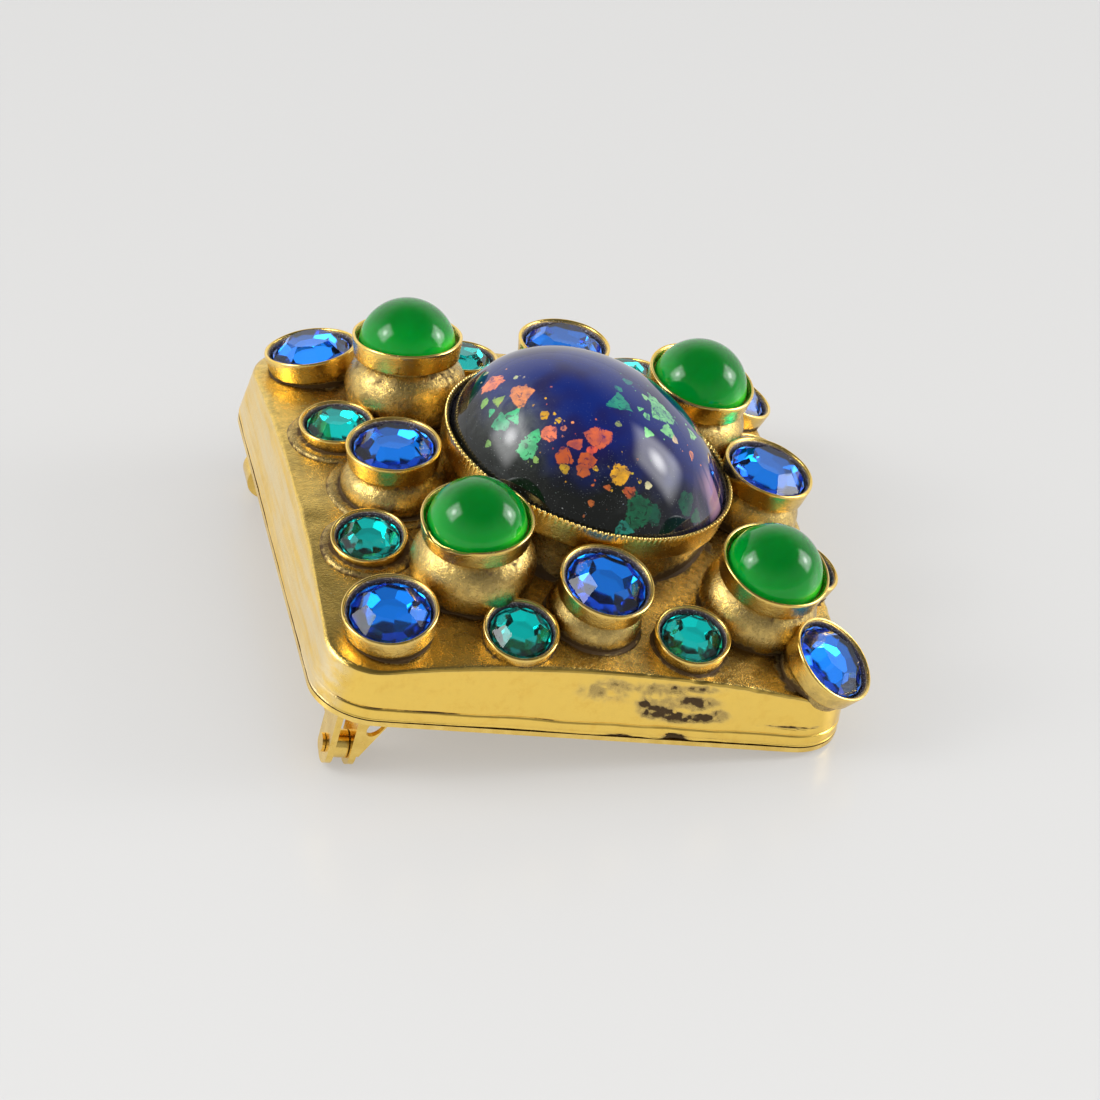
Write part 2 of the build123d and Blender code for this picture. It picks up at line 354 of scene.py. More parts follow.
class Wiring(Nodes):
    """Wires the nodes of one material."""

    def __init__(self, name: str) -> None:
        """Starts a material with a Principled shader.

        Args:
            name: Name of the material.
        """
        self.material = bpy.data.materials.new(name)
        self.material.use_nodes = True
        super().__init__(self.material.node_tree)
        self.shader = self.tree.nodes["Principled BSDF"]
        self.places = self.add("ShaderNodeTexCoord").outputs["Object"]

    def set(self, **values: object) -> None:
        """Sets the shader's own sockets, named with underscores for spaces."""
        for name, value in values.items():
            self.shader.inputs[name.replace("_", " ")].default_value = value

    def link(self, output: Socket, name: str) -> None:
        """Links an output to a socket of the shader."""
        self.tree.links.new(output, self.shader.inputs[name])

    def mark(self, name: str, output: str = "Fac") -> Socket:
        """Reads a named value or colour of the mesh.

        Args:
            name: Name of the mark.
            output: Fac for a number, Color for a colour.

        Returns:
            The number or colour.
        """
        node = self.add("ShaderNodeAttribute")
        node.attribute_name = name
        return node.outputs[output]

    def stretched(self, scale: Triple, turn: Triple = (0.0, 0.0, 0.0)) -> Socket:
        """Object places, scaled and turned.

        Args:
            scale: Scale along each axis. A small one draws a pattern out along that axis.
            turn: Turn about each axis, in radians.

        Returns:
            The places.
        """
        node = self.add("ShaderNodeMapping")
        node.inputs["Scale"].default_value = scale
        node.inputs["Rotation"].default_value = turn
        self.tree.links.new(self.places, node.inputs["Vector"])
        return node.outputs["Vector"]

    def noise(
        self,
        pitch: float,
        detail: float = 3.0,
        roughness: float = 0.55,
        places: Socket | None = None,
        distortion: float = 0.0,
    ) -> Socket:
        """Cloudy pattern.

        Args:
            pitch: Size of its largest clouds, in millimetres.
            detail: How many finer layers it has.
            roughness: How strong the finer layers are.
            places: Where it is read, else the object's own places.
            distortion: How far it is stirred.

        Returns:
            A value about 0.5.
        """
        node = self.tree.nodes.new("ShaderNodeTexNoise")
        node.inputs["Scale"].default_value = 1 / (pitch * MM)
        node.inputs["Detail"].default_value = detail
        node.inputs["Roughness"].default_value = roughness
        node.inputs["Distortion"].default_value = distortion
        self.tree.links.new(places or self.places, node.inputs["Vector"])
        return node.outputs["Fac"]

    def bump(self, height: Socket, depth: float, strength: float = 1.0) -> None:
        """Adds a bump on top of those already there.

        Args:
            height: The pattern.
            depth: Height of the full pattern, in millimetres.
            strength: Share of its effect.
        """
        node = self.tree.nodes.new("ShaderNodeBump")
        node.inputs["Distance"].default_value = depth * MM
        node.inputs["Strength"].default_value = strength
        self.tree.links.new(height, node.inputs["Height"])
        normal = self.shader.inputs["Normal"]
        if normal.links:
            self.tree.links.new(normal.links[0].from_socket, node.inputs["Normal"])
        self.tree.links.new(node.outputs["Normal"], normal)


@dataclass(frozen=True)
class GiltFinish:
    """Gilt metal, grainy where cast, bright where polished, brown where grimy and where shade is
    painted.

    The meshes carry four marks from 0 to 1: polish, brush, cement and a mark of grime
    that also holds painted shade in creases, under the cups and over the pedestals.

    Attributes:
        name: Name of the material.
        bright: Clean cast metal at its lightest.
        deep: Clean cast metal at its darkest.
        patina: Brown gold that lies over most of the casting.
        shade_and_tarnish: Dark brown of painted shade in creases and of the scars.
        shine: Polished metal.
        amber: Deeper clouds in the polished metal.
        worn: Pale streaks of the brushed wall.
        verdigris: Green bloom here and there in the grime.
        cement: Grey cement that holds the cut stones.
        glitter: Light specks in the cement.
        cast_roughness: Roughness of the casting.
        polished_roughness: Roughness of the polished metal.
        grain_depth: Height of the finest grain, in millimetres.
    """

    name: str
    bright: Triple = (0.95, 0.68, 0.20)
    deep: Triple = (0.80, 0.56, 0.17)
    patina: Triple = (0.385, 0.275, 0.104)
    shade_and_tarnish: Triple = (0.070, 0.040, 0.015)
    shine: Triple = (1.0, 0.68, 0.14)
    amber: Triple = (0.90, 0.55, 0.09)
    worn: Triple = (0.90, 0.74, 0.44)
    verdigris: Triple = (0.04, 0.33, 0.24)
    cement: Triple = (0.060, 0.050, 0.062)
    glitter: Triple = (0.42, 0.40, 0.42)
    cast_roughness: float = 0.25
    polished_roughness: float = 0.13
    grain_depth: float = 0.045

    def material(self) -> bpy.types.Material:
        """Wires the finish.

        Patina covers the clean gold where clouds, mottle and the grime mark add up, but not
        where the metal is polished or brushed. The grime mark with a ragged edge gives the dark
        brown, which is painted shade in creases, under the cups and over the pedestals as well as
        grime and scars, and bloom is a few spots of verdigris in the grime.

        Returns:
            The material.
        """
        wiring = Wiring(self.name)
        polish, grime_and_shade, brush, cement = map(wiring.mark, ("polish", "grime_and_shade", "brush", "cement"))
        clouds = wiring.noise(2.8, 5.0, 0.62)
        mottle = wiring.noise(0.55, 5.0, 0.65)
        matt = wiring.span(polish, 0.0, 1.0, 1.0, 0.05)

        cover = wiring.plus(wiring.times(clouds, 0.55), wiring.times(mottle, 0.45))
        # Painted shade: the grime mark also thickens the patina, which darkens the pedestals.
        cover = wiring.plus(cover, wiring.times(grime_and_shade, 0.22))
        cover = wiring.times(wiring.span(cover, 0.42, 0.66, 0.0, 0.80), matt)
        cover = wiring.times(cover, wiring.minus(1.0, brush))
        gold = wiring.blend(cover, self.clean_gold(wiring, clouds, polish, brush), self.patina)

        scratches = wiring.noise(0.5, 5.0, 0.7, wiring.stretched((1.0, 1.0, 0.3), (0.0, 0.8, 0.0)))
        ragged = wiring.minus(wiring.plus(mottle, scratches), 1.0)
        # Painted shade and grime: dark brown in creases, under the cups, over the pedestals and in
        # the scars.
        dark_grime_and_shade = wiring.span(wiring.maths("MULTIPLY_ADD", ragged, 0.6, grime_and_shade), 0.52, 0.76)
        spots = wiring.span(wiring.noise(1.1, 3.0), 0.79, 0.85, 0.0, 0.6)
        bloom = wiring.times(wiring.span(grime_and_shade, 0.35, 0.6), spots)
        stained_and_shaded = wiring.blend(bloom, wiring.blend(dark_grime_and_shade, gold, self.shade_and_tarnish), self.verdigris)
        sparkle = wiring.span(wiring.noise(0.12, 1.0), 0.60, 0.72)
        specks = wiring.blend(sparkle, self.cement, self.glitter)
        wiring.link(wiring.blend(cement, stained_and_shaded, specks), "Base Color")

        dull = wiring.plus(wiring.plus(dark_grime_and_shade, bloom), cement)
        wiring.link(wiring.span(dull, 0.2, 1.0, 1.0, 0.2), "Metallic")
        wiring.set(Specular_IOR_Level=0.18)
        rough = wiring.span(polish, 0.0, 1.0, self.cast_roughness, self.polished_roughness)
        rough = wiring.plus(rough, wiring.times(brush, 0.22))
        rough = wiring.plus(rough, wiring.times(dark_grime_and_shade, 0.25))
        patchy = wiring.times(wiring.minus(mottle, 0.5), 0.45)
        wiring.link(wiring.plus(rough, patchy), "Roughness")

        grain = wiring.noise(0.14, 3.0, 0.6)
        strokes = wiring.noise(0.35, 4.0, 0.6, wiring.stretched((1.0, 0.05, 1.0)))
        wiring.bump(wiring.times(mottle, matt), 0.06)
        wiring.bump(wiring.times(grain, matt), self.grain_depth)
        wiring.bump(wiring.times(strokes, brush), 0.03)
        return wiring.material

    def clean_gold(self, wiring: Wiring, clouds: Socket, polish: Socket, brush: Socket) -> Socket:
        """Colour of the metal before patina and soil.

        Args:
            wiring: Where the nodes go.
            clouds: Slow clouds of the casting.
            polish: The mark polish.
            brush: The mark brush.

        Returns:
            The colour: cast gold, polished gold over it, and worn streaks where brushed.
        """
        cast = wiring.blend(wiring.span(clouds, 0.35, 0.68), self.deep, self.bright)
        warmth = wiring.span(wiring.noise(1.6, 6.0, 0.7), 0.48, 0.72, 0.0, 0.6)
        polished = wiring.blend(warmth, self.shine, self.amber)
        gold = wiring.blend(wiring.times(polish, 0.95), cast, polished)
        streaks = wiring.noise(1.1, 4.0, 0.6, wiring.stretched((1.0, 0.07, 1.0)))
        return wiring.blend(wiring.times(brush, wiring.span(streaks, 0.28, 0.68)), gold, self.worn)


@dataclass(frozen=True)
class SheetGilt:
    """Bright gilt of the plate, the rivet and the pin, a little rubbed.

    Attributes:
        name: Name of the material.
        deep: Gold at its darkest.
        bright: Gold at its lightest.
        smooth: Roughness where it is smoothest.
        rubbed: Roughness where it is most rubbed.
    """

    name: str
    deep: Triple = (0.86, 0.58, 0.14)
    bright: Triple = (1.0, 0.72, 0.21)
    smooth: float = 0.10
    rubbed: float = 0.28

    def material(self) -> bpy.types.Material:
        """Wires the finish.

        Returns:
            The material.
        """
        wiring = Wiring(self.name)
        tone = wiring.span(wiring.noise(1.5, 4.0), 0.35, 0.7)
        wiring.link(wiring.blend(tone, self.deep, self.bright), "Base Color")
        wear = wiring.span(wiring.noise(0.3, 4.0), 0.3, 0.7, self.smooth, self.rubbed)
        wiring.link(wear, "Roughness")
        wiring.set(Metallic=1.0)
        return wiring.material


@dataclass(frozen=True)
class CabochonGlass:
    """Translucent coloured glass of a small domed stone.

    The mesh carries the mark depth, from 0 at the girdle to 1 at the top, and glint,
    which is highest where the light gathers at one side of the girdle.

    Attributes:
        name: Name of the material.
        body: Colour near the top.
        glow: Painted inner glow near the girdle, lighter green as if light shone through the glass
            there.
        gathered: Colour where the light gathers.
    """

    name: str
    body: Triple = (0.0, 0.135, 0.011)
    glow: Triple = (0.0, 0.29, 0.024)
    gathered: Triple = (0.035, 0.62, 0.02)

    def material(self) -> bpy.types.Material:
        """Wires the glass: a soft body under a polished surface.

        Returns:
            The material.
        """
        wiring = Wiring(self.name)
        clouds = wiring.maths("MULTIPLY_ADD", wiring.noise(4.0, 1.0), 0.5, wiring.mark("depth"))
        # Painted light: the colour lightens towards the girdle as an inner glow, and turns lime where
        # the light gathers.
        glass = wiring.blend(wiring.span(clouds, 0.30, 1.20), self.glow, self.body)
        wiring.link(wiring.blend(wiring.mark("glint"), glass, self.gathered), "Base Color")
        wiring.set(
            Roughness=0.06,
            IOR=1.5,
            Specular_IOR_Level=0.36,
            Subsurface_Weight=1.0,
            Subsurface_Scale=1.6 * MM,
            Subsurface_Radius=(0.15, 1.0, 0.25),
        )
        return wiring.material


@dataclass(frozen=True)
class ClearGlass:
    """Clear tinted glass of a cut stone's crown.

    Attributes:
        name: Name of the material.
        tint: Colour of what shines through it.
    """

    name: str
    tint: Triple

    def material(self) -> bpy.types.Material:
        """Wires the glass.

        Returns:
            The material.
        """
        wiring = Wiring(self.name)
        wiring.set(
            Base_Color=(*self.tint, 1.0),
            Roughness=0.0,
            IOR=1.52,
            Specular_IOR_Level=0.35,
            Transmission_Weight=1.0,
        )
        return wiring.material


@dataclass(frozen=True)
class FoilBack:
    """Bright foil behind a cut stone, seen through its glass.

    Attributes:
        name: Name of the material.
        colour: Colour of the brightest facet.
        dim: Share of that colour on the darkest one.
    """

    name: str
    colour: Triple
    dim: float = 0.30

    def material(self) -> bpy.types.Material:
        """Wires the foil, a mirror whose facets differ in brightness by the mark tone.

        Returns:
            The material.
        """
        wiring = Wiring(self.name)
        dull = tuple(self.dim * value for value in self.colour)
        wiring.link(wiring.blend(wiring.mark("tone"), dull, self.colour), "Base Color")
        wiring.set(Metallic=1.0, Roughness=0.10)
        return wiring.material


@dataclass(frozen=True)
class OpalGlass:
    """Dark blue glass with opal flakes, black towards its rim, under a polished surface.

    The mesh carries the marks flake, which is above 0 inside a flake, rim, pearl,
    a painted highlight's glare and the colour hue.

    Attributes:
        name: Name of the material.
        deep: Blue of the glass.
        haze: Violet clouds in it.
        black: Colour towards the rim.
        dust: Fine specks, thickest at the rim.
        wisp: Grey wisps at the rim.
        glare_patch: Painted highlight, a pale smoky patch low on the left.
        pearl: Pink streaks at the right.
    """

    name: str
    deep: Triple = (0.004, 0.014, 0.120)
    haze: Triple = (0.010, 0.009, 0.060)
    black: Triple = (0.004, 0.005, 0.004)
    dust: Triple = (0.35, 0.37, 0.36)
    wisp: Triple = (0.055, 0.060, 0.060)
    glare_patch: Triple = (0.17, 0.19, 0.18)
    pearl: Triple = (0.42, 0.24, 0.33)

    def material(self) -> bpy.types.Material:
        """Wires the glass: its ground first, then the flakes and the pearly streaks.

        Returns:
            The material.
        """
        wiring = Wiring(self.name)
        flake, rim, pearl, painted_glare = map(wiring.mark, ("flake", "rim", "pearl", "painted_glare"))
        ground = self.ground(wiring, rim, painted_glare)
        jagged = wiring.times(wiring.minus(wiring.noise(0.5, 4.0, 0.7), 0.5), 0.9)
        inside = wiring.span(wiring.plus(flake, jagged), 0.02, 0.10)
        cracks = wiring.noise(0.9, 5.0, 0.7, distortion=1.5)
        inside = wiring.times(inside, wiring.span(cracks, 0.40, 0.46, 0.25, 1.0))
        fading = wiring.span(wiring.noise(0.8, 3.0), 0.35, 0.7, 0.0, 0.45)
        tint = wiring.blend(fading, wiring.mark("hue", "Color"), ground)
        colour = wiring.blend(inside, ground, tint)
        wiring.link(wiring.blend(pearl, colour, self.pearl), "Base Color")
        wiring.set(Roughness=0.03, IOR=1.5, Specular_IOR_Level=0.38)
        return wiring.material

    def ground(self, wiring: Wiring, rim: Socket, painted_glare: Socket) -> Socket:
        """Colour of the glass without its flakes.

        Args:
            wiring: Where the nodes go.
            rim: The mark rim.
            painted_glare: The mark of the painted highlight.

        Returns:
            The colour: blue, black at the rim, with dust, wisps and a painted highlight over it.
        """
        colour = wiring.blend(wiring.span(wiring.noise(6.0, 2.0), 0.4, 0.6), self.deep, self.haze)
        colour = wiring.blend(rim, colour, self.black)
        specks = wiring.span(wiring.noise(0.10, 1.0, 0.5), 0.70, 0.80)
        amount = wiring.maths("MULTIPLY_ADD", rim, 0.55, 0.25)
        colour = wiring.blend(wiring.times(specks, amount), colour, self.dust)
        wisps = wiring.noise(2.4, 4.0, 0.6, distortion=1.0)
        wisps = wiring.span(wisps, 0.50, 0.75, 0.0, 0.3)
        colour = wiring.blend(wiring.times(wisps, rim), colour, self.wisp)
        # Painted highlight: a pale smoky patch where the left softbox is mirrored.
        drifts = wiring.noise(1.6, 4.0, 0.6, distortion=0.6)
        drifts = wiring.span(drifts, 0.30, 0.65, 0.35, 1.0)
        return wiring.blend(wiring.times(painted_glare, drifts), colour, self.glare_patch)


class FlakeHue(Enum):
    """Colours of the opal flakes."""

    SALMON = (0.72, 0.22, 0.10)
    RED = (0.62, 0.10, 0.045)
    ORANGE = (0.42, 0.10, 0.025)
    GOLD = (0.66, 0.34, 0.02)
    CREAM = (0.62, 0.55, 0.28)
    OLIVE = (0.24, 0.34, 0.10)
    GREEN = (0.09, 0.46, 0.20)
    LIME = (0.20, 0.54, 0.20)
    TEAL = (0.02, 0.21, 0.15)
    DEEP = (0.006, 0.085, 0.040)


# Each large flake's X, Y and size in the dome's plan, in millimetres.
FLAKES = {
    FlakeHue.SALMON: (
        (-9.0, 0.8, 0.9), (-7.4, -2.6, 0.95), (-5.8, -6.6, 0.8), (-4.6, -6.6, 0.25),
        (7.5, -5.2, 0.35), (-6.9, -1.7, 0.15), (-3.8, -6.3, 0.12),
    ),
    FlakeHue.RED: ((-3.7, -7.8, 0.5), (-1.8, -7.5, 1.0), (-2.3, -8.3, 0.35)),
    FlakeHue.ORANGE: (
        (-4.7, -8.4, 0.65), (-3.0, -8.9, 0.75), (-3.2, -9.4, 0.6), (0.9, -10.4, 0.6),
        (-1.1, -10.3, 0.25), (-2.5, -10.9, 0.3),
    ),
    FlakeHue.GOLD: (
        (-6.0, -5.1, 0.4), (-4.9, -5.9, 0.25), (-4.7, -9.0, 0.4), (0.0, -9.6, 0.75),
        (1.8, -9.7, 0.15), (-2.1, -9.4, 0.2), (-1.0, -9.3, 0.13), (-5.2, -5.3, 0.12),
    ),
    FlakeHue.CREAM: ((-7.4, -0.2, 0.22), (-9.0, 3.3, 0.25), (2.6, -9.7, 0.33), (5.8, -5.2, 0.4)),
    FlakeHue.OLIVE: (
        (0.2, -6.3, 0.3), (-10.2, -4.4, 0.3), (-6.9, -7.8, 0.28), (-10.0, -0.8, 0.4),
        (-9.1, -1.7, 0.45),
    ),
    FlakeHue.GREEN: (
        (-9.7, -2.2, 0.35), (-9.2, -3.8, 0.75), (-8.3, -3.9, 0.55), (-6.8, -6.4, 0.5),
        (-7.6, -6.7, 0.75),
    ),
    FlakeHue.LIME: (
        (4.7, -2.9, 1.15), (3.5, -2.3, 0.3), (2.6, -4.2, 0.25), (5.2, -4.9, 0.65),
        (5.6, -3.5, 0.35), (3.0, -6.2, 0.4), (8.1, -2.6, 0.55), (3.1, -4.7, 0.35),
        (4.2, -3.9, 0.4),
    ),
    FlakeHue.TEAL: ((0.7, -4.2, 0.85), (1.0, -2.7, 0.35), (2.2, -1.1, 0.45), (0.5, -11.8, 0.6)),
    FlakeHue.DEEP: ((1.7, -11.0, 1.4), (3.2, -10.9, 0.8), (6.5, -9.0, 0.9), (7.5, -8.9, 0.6)),
}


@dataclass(frozen=True)
class BlockShape:
    """Sizes and surfaces of the cast square block with its crowned top.

    Attributes:
        side: Side of the square at its foot.
        corner_radius: Radius of its corners there.
        ridge_inset: How far the wall leans in up to the ridge.
        ridge_height: Height of the ridge at the middle of each side.
        crown_rise: How far the middle of the crown stands above that.
        foot: Height of the wall's foot.
    """

    side: float = 45.9
    corner_radius: float = 5.0
    ridge_inset: float = 0.5
    ridge_height: float = 6.6
    crown_rise: float = 2.1
    foot: float = 0.5

    @property
    def half(self) -> float:
        """Half the side."""
        return self.side / 2

    @property
    def crown_radius(self) -> float:
        """Radius of the sphere that crowns the top."""
        reach = self.half - self.ridge_inset
        return (reach**2 + self.crown_rise**2) / (2 * self.crown_rise)

    def crown_height(self, x: np.ndarray, y: np.ndarray) -> np.ndarray:
        """Height of the crowned top: its middle less half the squared distance over the radius."""
        return self.ridge_height + self.crown_rise - (x * x + y * y) / (2 * self.crown_radius)

    def inset(self, height: np.ndarray) -> np.ndarray:
        """How far the draughted wall stands in from the foot at a height."""
        return self.ridge_inset * (height - self.foot) / (self.ridge_height - self.foot)

    def outside(self, x: np.ndarray, y: np.ndarray, inset: float) -> np.ndarray:
        """Distance outside the rounded square, negative inside it.

        Args:
            x: Places along X.
            y: Places along Y.
            inset: How far the square is drawn in from the foot.

        Returns:
            The distance at each place.
        """
        core = self.half - self.corner_radius
        beyond = np.stack((np.abs(x) - core, np.abs(y) - core), axis=-1)
        corner = np.linalg.norm(np.maximum(beyond, 0), axis=-1)
        return corner + np.minimum(beyond.max(axis=-1), 0) - (self.corner_radius - inset)

    def solid_height(self, x: np.ndarray, y: np.ndarray) -> np.ndarray:
        """Height of the block under a place: the crown, and past the ridge the steep wall."""
        slope = (self.ridge_height - self.foot) / self.ridge_inset
        return self.crown_height(x, y) - slope * np.maximum(self.outside(x, y, self.ridge_inset), 0)

    def outline(self, columns: int) -> tuple[np.ndarray, np.ndarray]:
        """Core points and outward directions round the rounded square.

        The outline is followed at an even pace: along each side the core point moves
        and the direction stands, and round each corner the core point stands at the
        corner's centre and the direction turns.

        Args:
            columns: How many points, a multiple of eight.

        Returns:
            Core points and unit directions, each with one row a column.
        """
        core = self.half - self.corner_radius
        straight = 2 * core
        bend = self.corner_radius * math.pi / 2
        pace = np.arange(columns) / columns * 4 * (straight + bend) - core
        lap = np.floor((pace + core) / (straight + bend)).astype(int)
        along = pace + core - lap * (straight + bend)
        travel = np.minimum(along, straight) - core
        turn = np.maximum(along - straight, 0) / self.corner_radius
        quarter = lap * math.pi / 2
        cosine, sine = np.cos(quarter), np.sin(quarter)
        x, y = cosine * core - sine * travel, sine * core + cosine * travel
        facing = quarter + turn
        return np.stack((x, y), axis=1), np.stack((np.cos(facing), np.sin(facing)), axis=1)


@dataclass(frozen=True)
class SettingSizes:
    """Sizes of one kind of setting.

    Attributes:
        rim: Outer radius of the rim.
        rise: Height of the rim above the crown.
        height: Height of the cup's outside.
        girdle: How deep the stone's girdle sits below the rim.
        depth: How deep the cup's floor lies below the rim.
        neck: Radius under the cup, as a share of the rim's.
        ball: Radius of the pedestal's waist, as a share of the rim's, or none.
        foot: Radius of the pedestal's foot, as a share of the rim's.
        columns: How many points a ring has.
        beads: How many milled beads the lip has.
        embed: How far the pedestal's profile runs on below the crown.
        brim: Where the inner wall starts to open, as a share of the girdle's depth.
    """

    rim: float
    rise: float
    height: float
    girdle: float
    depth: float
    neck: float
    ball: float | None
    foot: float
    columns: int = 144
    beads: int = 0
    embed: float = 0.7
    brim: float = 0.8


class SettingKind(Enum):
    """The five kinds of setting."""

    CENTRE = SettingSizes(
        12.65, 4.6, 2.3, 1.0, 1.05, 0.93, 0.92, 0.98, columns=936, beads=156, embed=2.6
    )
    GREEN = SettingSizes(4.7, 6.5, 1.9, 0.9, 0.95, 0.78, 1.10, 0.84, brim=0.5)
    MIDDLE = SettingSizes(4.0, 5.0, 1.9, 0.45, 1.45, 0.78, 0.98, 0.88)
    CORNER = SettingSizes(4.0, 2.35, 1.9, 0.45, 1.45, 0.88, None, 0.84)
    TEAL = SettingSizes(3.2, 1.6, 1.9, 0.4, 1.25, 0.92, None, 0.92)


@dataclass(frozen=True)
class StonePlace:
    """One stone's place.

    Attributes:
        name: Name of its node.
        kind: Its kind of setting.
        x: Place along X, as a share of half the side.
        y: Place along Y, as a share of half the side.
        rise: Its rim's height above the crown, as a share of its kind's.
        ball: Its pedestal's waist, as a share of its kind's.
        lean_x: How far it leans towards +X, in degrees.
        lean_y: How far it leans towards +Y, in degrees.
        ledge: Width of the low ledge round its foot, 0 where it has none.
    """

    name: str
    kind: SettingKind
    x: float
    y: float
    rise: float
    ball: float
    lean_x: float
    lean_y: float
    ledge: float = 0.0


STONES = (
    StonePlace("centre_stone", SettingKind.CENTRE, 0.075, -0.026, 1.00, 1.00, 5.2, 2.4),
    StonePlace("green_stone_1", SettingKind.GREEN, -0.468, -0.557, 1.06, 1.00, -9.1, -3.6),
    StonePlace("green_stone_2", SettingKind.GREEN, 0.657, -0.641, 0.97, 0.97, 4.2, -10.0),
    StonePlace("green_stone_3", SettingKind.GREEN, 0.634, 0.508, 0.92, 0.97, 3.5, -1.6),
    StonePlace("green_stone_4", SettingKind.GREEN, -0.517, 0.570, 1.03, 1.00, -8.2, 11.5),
    StonePlace("blue_stone_1", SettingKind.CORNER, -0.779, -0.803, 1.13, 1.00, -13.2, -8.3),
    StonePlace("blue_stone_2", SettingKind.MIDDLE, 0.003, -0.751, 0.94, 1.00, 0.9, -11.9),
    StonePlace("blue_stone_3", SettingKind.CORNER, 0.888, -0.869, 1.03, 1.00, 23.4, -16.9),
    StonePlace("blue_stone_4", SettingKind.MIDDLE, 0.784, -0.014, 1.07, 1.02, 7.8, -1.7),
    StonePlace("blue_stone_5", SettingKind.CORNER, 0.876, 0.786, 0.87, 1.00, 16.0, 4.9),
    StonePlace("blue_stone_6", SettingKind.MIDDLE, 0.131, 0.689, 1.05, 1.00, -3.1, 5.5),
    StonePlace("blue_stone_7", SettingKind.CORNER, -0.790, 0.820, 0.96, 1.00, -17.3, 14.7),
    StonePlace("blue_stone_8", SettingKind.MIDDLE, -0.664, -0.032, 0.95, 1.12, -11.5, 2.3, ledge=0.9),
    StonePlace("teal_stone_1", SettingKind.TEAL, -0.301, -0.856, 0.93, 1.00, -5.8, -15.8),
    StonePlace("teal_stone_2", SettingKind.TEAL, 0.345, -0.833, 1.08, 1.00, -3.4, -11.9),
    StonePlace("teal_stone_3", SettingKind.TEAL, 0.892, -0.352, 1.17, 1.00, 14.1, -3.5),
    StonePlace("teal_stone_4", SettingKind.TEAL, 0.892, 0.326, 1.10, 1.00, 13.0, 3.0),
    StonePlace("teal_stone_5", SettingKind.TEAL, 0.427, 0.795, 1.10, 1.00, -11.9, 17.0),
    StonePlace("teal_stone_6", SettingKind.TEAL, -0.210, 0.800, 1.01, 1.00, -4.3, 10.9),
    StonePlace("teal_stone_7", SettingKind.TEAL, -0.780, 0.313, 0.96, 1.00, -11.7, 2.3, ledge=0.9),
    StonePlace("teal_stone_8", SettingKind.TEAL, -0.775, -0.358, 0.82, 1.00, -13.2, -6.7, ledge=0.8),
)


@dataclass(frozen=True)
class Rim:
    """The plane of one rim in the level frame.

    Attributes:
        centre: Its middle.
        turn: Its X, Y and Z directions, as columns.
    """

    centre: np.ndarray
    turn: np.ndarray

    @classmethod
    def of(cls, place: StonePlace, block: BlockShape) -> "Rim":
        """Works out where a stone's rim is.

        Args:
            place: The stone's row.
            block: The block that it stands on.

        Returns:
            The rim's plane, leaning by the row's angles, first about X and then about Y.
        """
        x, y = place.x * block.half, place.y * block.half
        rise = place.rise * place.kind.value.rise
        height = block.crown_height(np.float64(x), np.float64(y)) + rise
        lean = Matrix.Rotation(math.radians(-place.lean_y), 3, "X")
        lean = lean @ Matrix.Rotation(math.radians(place.lean_x), 3, "Y")
        return cls(np.array((x, y, height)), np.array(lean))

    def to_level(self, points: np.ndarray) -> np.ndarray:
        """Turns points of the rim's own frame into level ones."""
        return self.centre + points @ self.turn.T


def turned(radius: np.ndarray, height: np.ndarray, columns: int) -> np.ndarray:
    """Rings about the Z axis: each radius and height carried once round.

    Args:
        radius: Radii by ring, or by ring and column.
        height: Heights by ring, or by ring and column.
        columns: How many points a ring has.

    Returns:
        Points by ring, column and axis.
    """
    angles = np.arange(columns) / columns * FULL_TURN
    shape = (len(radius), columns)
    radius = np.broadcast_to(radius if radius.ndim == 2 else radius[:, None], shape)
    height = np.broadcast_to(height if height.ndim == 2 else height[:, None], shape)
    return np.stack((radius * np.cos(angles), radius * np.sin(angles), height), axis=-1)


